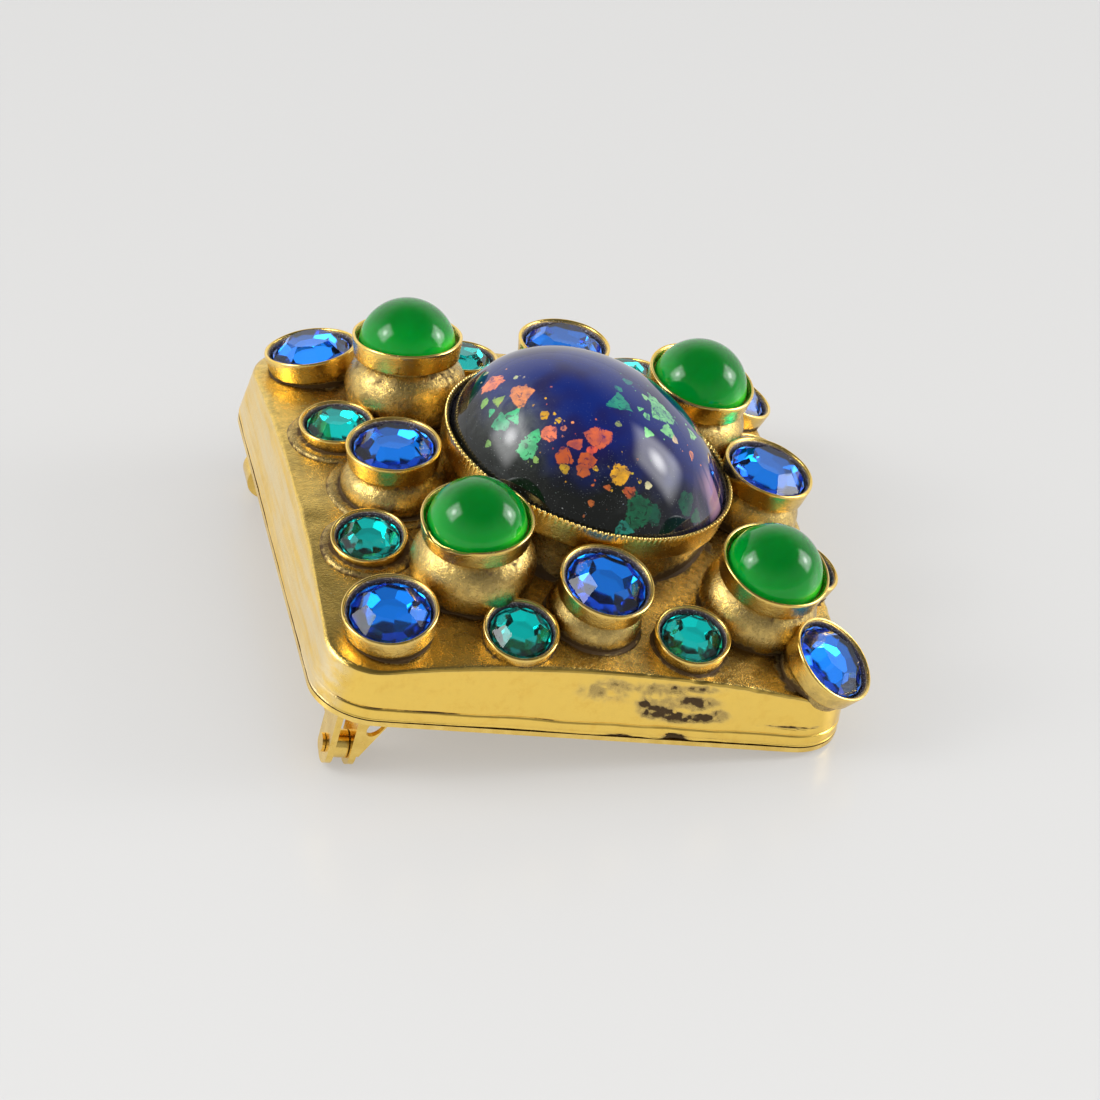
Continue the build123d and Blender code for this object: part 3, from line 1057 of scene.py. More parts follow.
@dataclass
class Setting:
    """One stone's cup and pedestal, from the cup's floor over its rim down to the crown.

    Attributes:
        place: The stone's row.
        block: The block that it stands on.
        rim_wall: Thickness of the wall at the lip.
        seat_wall: Thickness of the wall round the stone's girdle.
        draught: How far the cup's outside draws in down to its lower edge.
        torn: Bearing in degrees of a torn stretch of the lip, 0 where there is none.
        lift: Height above the crown where the pedestal ends.
        ledge_lift: The same where a ledge goes round the foot.
        ball_rows: How many rings a pedestal with a ball has.
        cone_rows: How many rings a plain one has.
    """

    place: StonePlace
    block: BlockShape
    rim_wall: float = 0.28
    seat_wall: float = 0.5
    draught: float = 0.2
    torn: float = 0.0
    lift: float = 0.06
    ledge_lift: float = 0.3
    ball_rows: int = 30
    cone_rows: int = 10

    def inner_profile(self) -> np.ndarray:
        """Radius and height from the cup's floor up its inner wall to the lip.

        Returns:
            Rows of radius and height.
        """
        sizes = self.place.kind.value
        seat = sizes.rim - self.seat_wall
        mouth = sizes.rim - self.rim_wall
        brim = sizes.girdle * sizes.brim
        return np.array(
            (
                (seat * 0.5, -sizes.depth),
                (seat * 0.97, -sizes.depth),
                (seat, -sizes.depth + 0.04),
                (seat, -sizes.girdle - 0.1),
                (seat + 0.02, -brim),
                (seat + 0.1, -brim * 0.7),
                (mouth - 0.03, -brim * 0.45),
                (mouth, -0.14),
            )
        )

    def lip_profile(self) -> np.ndarray:
        """Half a circle as wide as the wall, over the lip.

        Returns:
            Rows of radius and height.
        """
        turn = np.linspace(math.pi, 0, 9)
        middle = self.place.kind.value.rim - self.rim_wall / 2
        half_wall = self.rim_wall / 2
        return np.stack((middle + half_wall * np.cos(turn), half_wall * (np.sin(turn) - 1)), axis=1)

    def outer_profile(self) -> tuple[np.ndarray, int]:
        """Radius and height down the cup's outside and its pedestal.

        The cup's wall is straight with a draught and rolls in at its lower edge to the
        neck. The pedestal is an arc from the neck through its waist to its foot, or a
        straight cone where the kind has no ball.

        Returns:
            Rows of radius and height, and the number of rows down to the neck.
        """
        sizes = self.place.kind.value
        rise = self.place.rise * sizes.rise
        height = min(sizes.height, rise)
        low = sizes.rim - self.draught
        wall = np.linspace((sizes.rim, -0.2), (low, -height + 0.12), 9)
        roll = np.array(
            ((low - 0.02, -height + 0.05), (low - 0.08, -height), (low - 0.18, -height - 0.03))
        )
        neck = (sizes.rim * sizes.neck, -height - self.draught)
        foot = (sizes.rim * sizes.foot, -rise - sizes.embed)
        if sizes.ball:
            waist = (sizes.rim * sizes.ball * self.place.ball, -(height + rise) / 2)
            shank = arc_through(neck, waist, foot, 64)
        else:
            shank = np.linspace(neck, foot, 16)
        return np.concatenate((wall, roll, shank)), len(wall) + len(roll)

    def landing(self, path: np.ndarray, rim: Rim, lift: float) -> np.ndarray:
        """Where down its outer profile each column meets the crown.

        The share of the profile is halved again and again between a place above the
        crown and one below it, for all the columns at once.

        Args:
            path: Outer profile as rows of radius and height.
            rim: The rim's plane.
            lift: Height above the crown where the column stops.

        Returns:
            A share between 0 and 1 for each column.
        """
        low = np.zeros(self.place.kind.value.columns)
        high = np.ones_like(low)
        for _ in range(18):
            middle = (low + high) / 2
            points = self.at(path, middle[None], rim)[0]
            above = points[:, 2] > self.block.solid_height(points[:, 0], points[:, 1]) + lift
            low = np.where(above, middle, low)
            high = np.where(above, high, middle)
        return high

    def at(self, path: np.ndarray, shares: np.ndarray, rim: Rim) -> np.ndarray:
        """Level points at shares of a profile.

        Args:
            path: Rows of radius and height.
            shares: Shares by ring and column.
            rim: The rim's plane.

        Returns:
            Points by ring, column and axis.
        """
        steps = np.linspace(0, 1, len(path))
        radius = np.interp(shares, steps, path[:, 0])
        height = np.interp(shares, steps, path[:, 1])
        return rim.to_level(turned(radius, height, shares.shape[1]))

    def build(self, seat: Seat) -> bpy.types.Object:
        """Builds the setting as one skin.

        The rings go over the cup's floor, inner wall and lip, down the outside to the
        landing, out over a small apron that lies on the crown, and close below it.

        Args:
            seat: Where the level frame lies.

        Returns:
            The piece.
        """
        place, sizes = self.place, self.place.kind.value
        columns = sizes.columns
        rim = Rim.of(place, self.block)
        path, neck_rows = self.outer_profile()
        landing = self.landing(path, rim, self.ledge_lift if place.ledge else self.lift)
        neck = (neck_rows - 1) / (len(path) - 1)
        shrink = np.minimum(1, landing / (neck + 0.02))
        upper = np.linspace(0, 1, neck_rows)[:, None] * neck * shrink
        lower_rows = self.ball_rows if sizes.ball else self.cone_rows
        lower = np.linspace(0, 1, lower_rows + 1)[1:, None]
        lower = neck * shrink + lower * (landing - neck * shrink)
        outer = self.at(path, np.concatenate((upper, lower)), rim)
        inner = np.concatenate((self.inner_profile(), self.lip_profile()))
        inside = rim.to_level(turned(inner[:, 0], inner[:, 1], columns))
        rings = np.concatenate((inside, outer, self.apron(outer[-1], landing)))
        marks = self.marks(rings, len(inside), neck_rows, lower_rows)
        rings = self.hand_work(rings, len(self.inner_profile()), len(inside) + neck_rows, rim)
        name = place.name.replace("stone", "setting")
        return Skin(rings, marks).to_piece(name, seat)

    def apron(self, foot: np.ndarray, landing: np.ndarray) -> np.ndarray:
        """Rings from the foot out over the crown.

        Each ring stands out from the foot by a distance and above the crown by a
        height; a column that never lands, past the block's edge, turns inwards.

        Args:
            foot: The last ring of the outside.
            landing: Share of the profile where each column lands.

        Returns:
            Points by ring, column and axis.
        """
        width = self.place.ledge
        if width:
            steps = (
                (0.12, 0.27),
                (width * 0.6, 0.28),
                (width, 0.25),
                (width + 0.14, 0.12),
                (width + 0.3, -0.08),
            )
        else:
            steps = ((0.06, 0.01), (0.2, -0.02), (0.45, -0.12))
        middle = foot.mean(axis=0)
        out = foot[:, :2] - middle[:2]
        out = out / np.linalg.norm(out, axis=1, keepdims=True)
        beyond = self.block.outside(foot[:, 0], foot[:, 1], self.block.ridge_inset)
        lands = (ease((0.995 - landing) / 0.02) * ease((-0.45 - beyond) / 0.3))[:, None]
        rings = []
        for reach, height in steps:
            spot = foot[:, :2] + out * (reach * lands - 0.6 * (1 - lands))
            level = self.block.solid_height(spot[:, 0], spot[:, 1])[:, None] + height
            level = lands * level + (1 - lands) * (foot[:, 2:] - 0.05)
            rings.append(np.concatenate((spot, level), axis=1))
        return np.stack(rings)

    def hand_work(self, rings: np.ndarray, lip: int, pedestal: int, rim: Rim) -> np.ndarray:
        """Makes the turned form look hand set: a wavy lip, a dented ball and milled beads.

        Args:
            rings: The setting's rings.
            lip: Number of rings before the lip.
            pedestal: Number of rings before the pedestal.
            rim: The rim's plane.

        Returns:
            The moved rings.
        """
        sizes = self.place.kind.value
        seed = STONES.index(self.place) + 1
        axis = rim.turn[:, 2]
        radial = rings - rim.centre
        radial = radial - (radial @ axis)[..., None] * axis
        radial = radial / np.maximum(np.linalg.norm(radial, axis=-1, keepdims=True), 1e-6)
        rows = np.arange(len(rings))[:, None]
        near_lip = np.exp(-(((rows - lip - 4) / 7.0) ** 2))
        moved = rings + radial * (0.07 * drift(rings, 3.1, seed) * near_lip)[..., None]
        moved = moved + axis * (0.06 * drift(rings, 2.6, seed + 40) * near_lip)[..., None]
        on_ball = ease((rows - pedestal + 2) / 6.0)
        moved = moved + radial * (0.10 * drift(rings, 3.4, seed + 80) * on_ball)[..., None]
        if self.torn:
            moved = moved + self.fold(rings, rim, near_lip, radial)
        if sizes.beads:
            angles = np.arange(sizes.columns) / sizes.columns * FULL_TURN
            bead = np.abs(np.sin(sizes.beads * angles / 2)) ** 0.7 - 0.7
            on_lip = np.exp(-(((rows - lip - 4.5) / 4.0) ** 2))
            moved = moved + (0.27 * bead * on_lip)[..., None] * axis
            moved = moved + radial * (0.19 * bead * on_lip)[..., None]
        return moved

    def fold(
        self, rings: np.ndarray, rim: Rim, near_lip: np.ndarray, radial: np.ndarray
    ) -> np.ndarray:
        """How far the torn stretch of a lip is pushed out and down.

        The push is a bell over the bearing, ruffled by a fine random value.

        Args:
            rings: The setting's rings.
            rim: The rim's plane.
            near_lip: Share of the push by ring, 1 at the lip.
            radial: Outward direction at each point.

        Returns:
            The push at each point.
        """
        local = (rings - rim.centre) @ rim.turn
        bearing = np.degrees(np.arctan2(local[..., 1], local[..., 0])) % 360
        bell = np.exp(-(((bearing - self.torn) / 26.0) ** 2)) * near_lip
        ruffle = 1 + 0.9 * drift(rings, 0.8, 61)
        out = radial * (0.22 * bell * ruffle)[..., None]
        return out - rim.turn[:, 2] * (0.42 * bell * ruffle)[..., None]

    def marks(
        self, rings: np.ndarray, inside: int, neck_rows: int, lower_rows: int
    ) -> dict[str, np.ndarray]:
        """Values that the gilt finish reads: polish, grime with painted shade, brush and cement.

        The cup's outside is polished, most of all at its lip. Grime and painted shade gather
        in the crease at the foot and under the cup, and painted shade lies thinly over the pedestal.
        Grey cement lines the cups, apart from those of the green stones.

        Args:
            rings: The setting's rings.
            inside: Number of rings up to the end of the lip.
            neck_rows: Number of rings down to the neck.
            lower_rows: Number of rings of the pedestal.

        Returns:
            The marks by name.
        """
        rows = np.arange(len(rings))[:, None] + np.zeros(rings.shape[:2])
        seed = STONES.index(self.place) + 1
        neck = inside + neck_rows
        polish = ease((rows - inside + 12) / 3) * ease((neck + 1 - rows) / 3)
        lip = np.exp(-(((rows - inside + 4) / 4.0) ** 2))
        polish = polish * (0.35 + 0.65 * lip)
        bottom = neck + lower_rows
        # Painted shade: the crease at the foot and the place under the cup are darkened through the
        # grime mark.
        foot_height = rings[..., 2] - self.block.solid_height(rings[..., 0], rings[..., 1])
        crease = np.exp(-np.maximum(foot_height, 0) / 0.45)
        below = np.exp(-np.abs(rows - neck - 1) / 2.2) * 0.5
        cement = 1 - ease((rows - inside + 12) / 2)
        cloud = 0.25 * drift(rings, 1.6, seed + 7)
        grime_and_shade = np.maximum(crease * 0.95, below) * (rows > inside) + cloud * (rows > inside)
        # Painted shade over the pedestal below the neck, which darkens the ball.
        grime_and_shade = grime_and_shade + 0.38 * ease((rows - neck) / 4.0)
        grime_and_shade = np.where(rows > bottom, grime_and_shade * 0.6, grime_and_shade)
        if self.place.kind is SettingKind.GREEN:
            polish = np.maximum(polish, 0.3 * cement)
            cement = np.zeros_like(cement)
        grime_and_shade = np.clip(grime_and_shade, 0, 1)
        return {"polish": polish, "grime_and_shade": grime_and_shade, "brush": 0.4 * lip, "cement": cement}


@dataclass
class CrownedBlock:
    """The cast block: crowned top, rounded ridge, draughted walls and hidden underside.

    Attributes:
        shape: Its sizes.
        columns: How many points a ring has.
        crown_rings: How many rings the crown has.
        ridge_round: How far the rounding of the ridge reaches to each side.
        first_share: Where the first ring lies, as a share of the way to the ridge. The
            centre stone's setting hides what is inside it.
        patches: X, height, width, rise and strength of the front wall's brown patches.
    """

    shape: BlockShape
    columns: int = 640
    crown_rings: int = 62
    ridge_round: float = 0.38
    first_share: float = 0.3
    patches: tuple[tuple[float, float, float, float, float], ...] = (
        (4.3, 3.9, 0.9, 0.7, 1.1),
        (5.6, 3.1, 1.6, 0.65, 1.3),
        (7.3, 2.7, 1.9, 0.50, 1.35),
        (9.3, 2.8, 1.9, 0.42, 1.2),
        (10.9, 3.2, 0.9, 0.5, 0.8),
        (8.0, 4.2, 2.4, 0.7, 0.8),
        (6.2, 5.3, 1.1, 0.55, 0.8),
        (9.0, 5.6, 1.8, 0.35, 0.6),
        (0.6, 4.9, 2.6, 1.1, 0.50),
        (4.6, 5.2, 2.0, 0.8, 0.45),
        (7.5, 0.75, 0.9, 0.35, 1.2),
        (17.3, 2.4, 2.4, 0.10, 1.0),
        (2.6, 0.62, 1.1, 0.09, 1.0),
    )

    def ridge(self) -> tuple[np.ndarray, np.ndarray, np.ndarray, np.ndarray]:
        """The line where the crown meets the wall.

        The wall's inset depends on the height and the crown's height on the inset, so
        both are worked out in turn a few times.

        Returns:
            Core points, directions, ridge points in plan and ridge heights.
        """
        core, facing = self.shape.outline(self.columns)
        height = np.full(self.columns, self.shape.ridge_height)
        for _ in range(6):
            reach = self.shape.corner_radius - self.shape.inset(height)
            plan = core + facing * reach[:, None]
            height = self.shape.crown_height(plan[:, 0], plan[:, 1])
        return core, facing, plan, height

    def build(self, seat: Seat, rims: list[tuple[np.ndarray, float]]) -> bpy.types.Object:
        """Builds the block as one skin from the middle of the crown down and under.

        Args:
            seat: Where the level frame lies.
            rims: Place in plan and radius of each pedestal's foot, for the grime and painted shade
                round it.

        Returns:
            The piece.
        """
        core, facing, plan, height = self.ridge()
        shrink = 1 - self.ridge_round / np.linalg.norm(plan, axis=1, keepdims=True)
        shares = np.linspace(self.first_share, 1, self.crown_rings)[:, None, None]
        crown_plan = plan * shrink * shares
        crown_level = self.shape.crown_height(crown_plan[..., 0], crown_plan[..., 1])
        crown = np.concatenate((crown_plan, crown_level[..., None]), axis=-1)
        wall = self.wall(core, facing, height)
        corner = np.concatenate((plan, height[:, None]), axis=1)
        turn = np.linspace(0, 1, 9)[1:-1, None, None]
        ridge = (1 - turn) ** 2 * crown[-1] + 2 * turn * (1 - turn) * corner + turn**2 * wall[0]
        under = wall[-1] * (0.97, 0.97, 1.0)
        rings = np.concatenate((crown, ridge, wall, under[None], under[None] * (0.4, 0.4, 1.0)))
        marks = self.marks(rings, len(crown), len(ridge), rims, facing)
        rings = self.casting_skin(rings, len(crown), facing)
        return Skin(rings, marks).to_piece("crowned_block", seat)

    def wall(self, core: np.ndarray, facing: np.ndarray, height: np.ndarray) -> np.ndarray:
        """Rings down the draughted wall, closer together near the foot.

        Args:
            core: Core points of the outline.
            facing: Outward directions.
            height: Ridge heights.

        Returns:
            Points by ring, column and axis.
        """
        foot = self.shape.foot
        bands = (np.linspace(0, 0.62, 22), np.linspace(0.63, 0.985, 30), (0.995, 1.0))
        bands = np.concatenate(bands)[:, None]
        level = (height - self.ridge_round) * (1 - bands) + foot * bands
        tuck = 0.1 * ease((bands - 0.98) / 0.02)
        reach = self.shape.corner_radius - self.shape.inset(level) - tuck
        plan = core + facing * reach[..., None]
        return np.concatenate((plan, level[..., None]), axis=-1)

    def casting_skin(self, rings: np.ndarray, crown: int, facing: np.ndarray) -> np.ndarray:
        """Adds the unevenness of the casting.

        Slow waves go over the crown and the walls. A groove runs round the walls and a
        fine seam lies near their foot. The front wall has its scars and some crumpling,
        and the right half of its ridge is rough.

        Args:
            rings: The block's rings.
            crown: Number of rings of the crown.
            facing: Outward directions by column.

        Returns:
            The moved rings.
        """
        rows = np.arange(len(rings))[:, None]
        on_crown = 1 - ease((rows - crown + 3) / 6.0)
        swell = 0.10 * drift(rings, 5.0, 3) + 0.05 * drift(rings, 1.7, 4)
        moved = rings.copy()
        moved[..., 2] += swell * on_crown
        on_wall = ease((rows - crown) / 6.0)
        wave = 0.07 * drift(rings, 7.0, 5) + 0.035 * drift(rings, 2.2, 6)
        wave = wave + 0.012 * drift(rings, 0.8, 7)
        groove_height = self.shape.foot + 1.15 + 0.06 * drift(rings, 4.0, 8)
        line = np.exp(-(((rings[..., 2] - groove_height) / 0.09) ** 2))
        breaks = ease(1.2 + 2.2 * drift(rings * (1, 1, 0), 5.5, 9))
        breaks = breaks * (1 - 0.85 * ease((-facing[:, 0] - 0.6) / 0.3))
        seam = np.exp(-(((rings[..., 2] - self.shape.foot - 0.25) / 0.10) ** 2))
        front = rings[..., 1] < -self.shape.half + 1.5
        crumple = np.exp(-(((rings[..., 0] - 7.5) / 5.0) ** 2)) * drift(rings, 1.3, 35)
        push = wave - 0.14 * line * breaks - 0.06 * seam
        push = push + front * (0.09 * crumple - 0.22 * self.scars(rings))
        moved[..., :2] += facing * (push * on_wall)[..., None]
        rough_edge = np.exp(-(((rows - crown - 3) / 3.5) ** 2)) * ease((rings[..., 0] - 1.0) / 5.0)
        moved[..., 2] += 0.09 * drift(rings, 0.55, 34) * rough_edge * (rings[..., 1] < 0)
        return moved

    def scars(self, rings: np.ndarray) -> np.ndarray:
        """Brown pitted patches of the front wall, from 0 to 1.

        Args:
            rings: The block's rings.

        Returns:
            How deep each point lies in a patch.
        """
        depth = np.zeros(rings.shape[:2])
        for x, height, width, rise, amount in self.patches:
            away = ((rings[..., 0] - x) / width) ** 2 + ((rings[..., 2] - height) / rise) ** 2
            depth = np.maximum(depth, amount * np.exp(-(away**1.5)))
        torn = 0.85 + 0.6 * drift(rings, 0.9, 31) + 0.6 * drift(rings, 0.35, 32)
        return np.clip(depth * torn, 0, 1)

    def marks(
        self,
        rings: np.ndarray,
        crown: int,
        ridge: int,
        rims: list[tuple[np.ndarray, float]],
        facing: np.ndarray,
    ) -> dict[str, np.ndarray]:
        """Values that the gilt finish reads: polish, grime with painted shade, brush and cement.

        Painted shade and grime gather round each pedestal's foot, and grime lies in the groove and
        in the scars. The left wall is brushed, the other walls and the ridge are polished, and
        there is no cement.

        Args:
            rings: The block's rings.
            crown: Number of rings of the crown.
            ridge: Number of rings round the ridge.
            rims: Place in plan and radius of each pedestal's foot.
            facing: Outward directions by column.

        Returns:
            The marks by name.
        """
        rows = np.arange(len(rings))[:, None] + np.zeros(rings.shape[:2])
        on_wall = ease((rows - crown - ridge / 2) / (ridge / 2))
        # Painted shade and grime round each pedestal's foot on the crown.
        near = np.zeros(rings.shape[:2])
        for middle, radius in rims:
            gap = np.linalg.norm(rings[..., :2] - middle, axis=-1) - radius
            near = np.maximum(near, np.exp(-np.maximum(gap, 0) / 0.9))
            near = near + 0.06 * np.exp(-np.maximum(gap, 0) / 2.5)
        blotch = 0.75 + 0.6 * drift(rings, 1.5, 22) + 0.3 * drift(rings, 0.5, 23)
        grime_and_shade = 0.75 * near * blotch + 0.15 * drift(rings, 2.6, 21)
        grime_and_shade = grime_and_shade * (1 - on_wall)
        left = ease((-facing[:, 0] - 0.5) / 0.4)
        brush = on_wall * left
        on_ridge = np.exp(-(((rows - crown - 3) / 3.0) ** 2)) * (1 - 0.75 * left)
        polish = np.maximum(on_wall * (1 - 0.6 * left), on_ridge)
        margin = ease((self.shape.outside(rings[..., 0], rings[..., 1], 0.5) + 5.0) / 3.5)
        polish = np.maximum(polish, 0.45 * margin * ease((-rings[..., 0] - 8.0) / 6.0))
        foot_gap = rings[..., 2] - self.shape.foot
        line = np.exp(-((foot_gap / 0.12) ** 2)) * on_wall
        front = on_wall * (rings[..., 1] < -self.shape.half + 1.5)
        groove = np.exp(-(((foot_gap - 1.15 - 0.06 * drift(rings, 4.0, 8)) / 0.10) ** 2))
        groove = groove * ease((-1.6 - rings[..., 0]) / 2.0) * (0.75 + 0.7 * drift(rings, 1.6, 24))
        grime_and_shade = np.clip(grime_and_shade + line + front * (groove + self.scars(rings)), 0, 1)
        polish = polish * (1 - 0.8 * front * ease(self.scars(rings) * 3))
        return {"polish": polish, "grime_and_shade": grime_and_shade, "brush": brush, "cement": np.zeros_like(grime_and_shade)}


@dataclass
class Cabochon:
    """A domed stone: part of a sphere over a short straight girdle.

    Attributes:
        place: The stone's row.
        block: The block that it stands on.
        dome: Height of its top above the rim.
        radius: Radius of its girdle.
        bright_bearing: Bearing in degrees where the light gathers at its girdle.
        columns: How many points a ring has.
        rows: How many rings the dome has.
    """

    place: StonePlace
    block: BlockShape
    dome: float
    radius: float
    bright_bearing: float = 318.0
    columns: int = 128
    rows: int = 48

    def build(self, seat: Seat, name: str) -> bpy.types.Object:
        """Builds the stone.

        The sphere meets the girdle's edge and the dome's top, so its radius is the
        squared girdle radius plus the squared rise, over twice the rise.

        Args:
            seat: Where the level frame lies.
            name: Name of the piece.

        Returns:
            The piece.
        """
        sizes = self.place.kind.value
        sole = -sizes.girdle
        shoulder = sole * 0.6
        rise = self.dome - shoulder
        ball = (self.radius**2 + rise**2) / (2 * rise)
        edge = math.atan2(self.radius, ball - rise)
        turn = np.linspace(0.012, edge, self.rows)
        belt = (self.radius, self.radius, self.radius * 0.97)
        radius = np.concatenate((ball * np.sin(turn), belt))
        belt_level = (shoulder * 1.3, sole * 0.96, sole)
        height = np.concatenate((self.dome - ball + ball * np.cos(turn), belt_level))
        rim = Rim.of(self.place, self.block)
        rings = rim.to_level(turned(radius, height, self.columns))
        depth = np.clip((height - shoulder) / rise, 0, 1)[:, None] + np.zeros(self.columns)
        bearing = np.arange(self.columns) / self.columns * FULL_TURN
        off = (np.degrees(bearing) - self.bright_bearing + 180) % 360 - 180
        glint = np.exp(-((off / 22.0) ** 2) - ((depth - 0.15) / 0.14) ** 2)
        return Skin(rings, {"depth": depth, "glint": 0.8 * glint}).to_piece(name, seat)


@dataclass
class OpalDome:
    """The large dome, set a little askew, with its flakes.

    Attributes:
        place: The stone's row.
        block: The block that it stands on.
        radius: Radius of its girdle.
        height: Height of its top above the rim.
        foot: Height of its edge, which is below the rim and so negative.
        sway: How far the top stands from the rim's axis, along the rim's X and Y.
        swell: How far the flanks stand up on the +X and +Y sides.
        glare_patch: Middle of the painted highlight, a smoky patch, in the rim's frame.
        columns: How many points a ring has.
        rows: How many rings the dome has.
        crumbs: How many small flakes lie round the large ones.
    """

    place: StonePlace
    block: BlockShape
    radius: float
    height: float = 7.85
    foot: float = -0.6
    sway: tuple[float, float] = (-1.6, 0.25)
    swell: tuple[float, float] = (-0.26, -0.43)
    glare_patch: Triple = (-9.2, -4.2, 4.2)
    columns: int = 620
    rows: int = 150
    crumbs: int = 120

    def surface(self, plan: np.ndarray) -> np.ndarray:
        """Points of the dome over places in plan, in the rim's frame.

        The height is that of a sphere through the girdle and the top, plus the swell
        times the place and 2.6 (1 - s), where s is the squared distance from the axis
        over that of the girdle. Each point sways aside with its share of the height.

        Args:
            plan: X and Y from the axis before the sway.

        Returns:
            X, Y and Z of each point.
        """
        away = (plan**2).sum(axis=-1)
        rise = self.height - self.foot
        ball = (self.radius**2 + rise**2) / (2 * rise)
        height = self.height - ball + np.sqrt(np.maximum(ball**2 - away, 0))
        share = (height - self.foot) / rise
        swell = plan @ np.array(self.swell) / self.radius * 2.6 * (1 - away / self.radius**2)
        aside = plan + share[..., None] * self.sway
        return np.concatenate((aside, (height + swell)[..., None]), axis=-1)

    def flakes(self, points: np.ndarray) -> tuple[np.ndarray, np.ndarray]:
        """Tells where the flakes are.

        A flake is a polygon with seven sides at random distances: its value at a
        point is 1 less the largest of the offsets along the sides' directions, each
        over its distance. Each point takes the largest value and that flake's colour.

        Args:
            points: Points of the dome in the rim's frame.

        Returns:
            The flake value, above 0 inside a flake, and the colour at each point.
        """
        dice = np.random.default_rng(11)
        rows = [(x, y, 1.15 * size, hue) for hue, group in FLAKES.items() for x, y, size in group]
        for pick in dice.integers(0, len(rows), self.crumbs):
            x, y, size, hue = rows[pick]
            step = dice.normal(0, 0.5 + 0.8 * size, 2)
            rows.append((x + step[0], y + step[1], dice.uniform(0.05, 0.14), hue))
        value = np.full(points.shape[:-1], -9.0)
        colour = np.zeros((*points.shape[:-1], 4))
        for x, y, size, hue in rows:
            middle = self.surface(np.array((x, y)))
            out = middle - self.surface(np.array((x, y)) * 0.97)
            out = out / np.linalg.norm(out)
            side = np.cross((0.0, 0.0, 1.0), out)
            side = side / np.linalg.norm(side)
            turns = np.sort(dice.uniform(0, FULL_TURN, 3))[:, None] + np.arange(3) * FULL_TURN / 3
            facing = np.stack((np.cos(turns.ravel()), np.sin(turns.ravel())))
            facing = facing / (size * dice.uniform(0.7, 1.25, facing.shape[1]))
            offset = points - middle
            flat = np.stack((offset @ out, offset @ side), axis=-1)
            here = (1 - (flat @ facing).max(axis=-1)) * min(1.0, size / 0.4)
            tone = (dice.uniform(0.75, 1.15), dice.uniform(0.8, 1.15), 1, 1)
            shade = np.array((*hue.value, 1.0)) * tone
            nearer = here > value
            value = np.where(nearer, here, value)
            colour = np.where(nearer[..., None], shade, colour)
        return value, colour

    def build(self, seat: Seat) -> bpy.types.Object:
        """Builds the dome and writes its marks.

        Args:
            seat: Where the level frame lies.

        Returns:
            The piece.
        """
        rise = self.height - self.foot
        ball = (self.radius**2 + rise**2) / (2 * rise)
        turn = np.linspace(0.004, 1, self.rows) * math.atan2(self.radius, ball - rise)
        reach = ball * np.sin(turn)
        angles = np.arange(self.columns) / self.columns * FULL_TURN
        plan = reach[:, None, None] * np.stack((np.cos(angles), np.sin(angles)), axis=-1)
        dome = self.surface(plan)
        sole = -self.place.kind.value.girdle
        girdle = np.stack((dome[-1], dome[-1], dome[-1] * (0.97, 0.97, 1)))
        girdle[..., 2] = np.array((sole * 0.8, sole * 0.98, sole))[:, None]
        rings = np.concatenate((dome, girdle))
        value, colour = self.flakes(rings)
        rim = Rim.of(self.place, self.block)
        marks = {"flake": value, **self.marks(rings)}
        piece = Skin(rim.to_level(rings), marks).to_piece("opal_dome", seat)
        ends = colour[[0, -1]].mean(axis=1)
        flat = np.concatenate((colour.reshape(-1, 4), ends)).astype(np.float32)
        layer = piece.data.attributes.new("hue", "FLOAT_COLOR", "POINT")
        layer.data.foreach_set("color", flat.ravel())
        return piece

    def marks(self, rings: np.ndarray) -> dict[str, np.ndarray]:
        """Values that the opal glass reads besides its flakes: rim, pearl and a painted highlight.

        The black of the rim climbs higher at the front left. The pearly streaks run up
        a narrow sector at the right, and the painted highlight is a bell round its middle.

        Args:
            rings: The dome's rings in the rim's frame.

        Returns:
            The marks by name.
        """
        edge = (rings[..., 2] - self.foot) / (self.height - self.foot)
        front = ease(0.35 - (0.75 * rings[..., 1] + 0.65 * rings[..., 0]) / 14.0)
        torn = 0.12 * drift(rings, 2.2, 51) + 0.06 * drift(rings, 0.8, 52)
        rim = ease(1.6 - (edge + torn) / (0.16 + 0.34 * front)) * (0.5 + 0.5 * front)
        bearing = np.arctan2(rings[..., 1], rings[..., 0])
        streaks = np.stack((bearing * 14, 0.15 * rings[..., 2], 0 * bearing), axis=-1)
        sector = np.exp(-(((bearing + 0.50) / 0.20) ** 2)) * ease(2.2 - edge / 0.22)
        pearl = sector * ease(0.55 + 0.9 * drift(streaks, 0.55, 5)) * 0.75
        rim = np.maximum(rim * (1 - pearl), 0)
        # Painted highlight: a pale smoky bell low on the left flank, where the left softbox is
        # mirrored.
        away = ((rings - np.array(self.glare_patch)) / (2.6, 3.4, 2.4)) ** 2
        painted_glare = 0.55 * np.exp(-away.sum(axis=-1))
        return {"rim": rim, "pearl": pearl, "painted_glare": painted_glare}


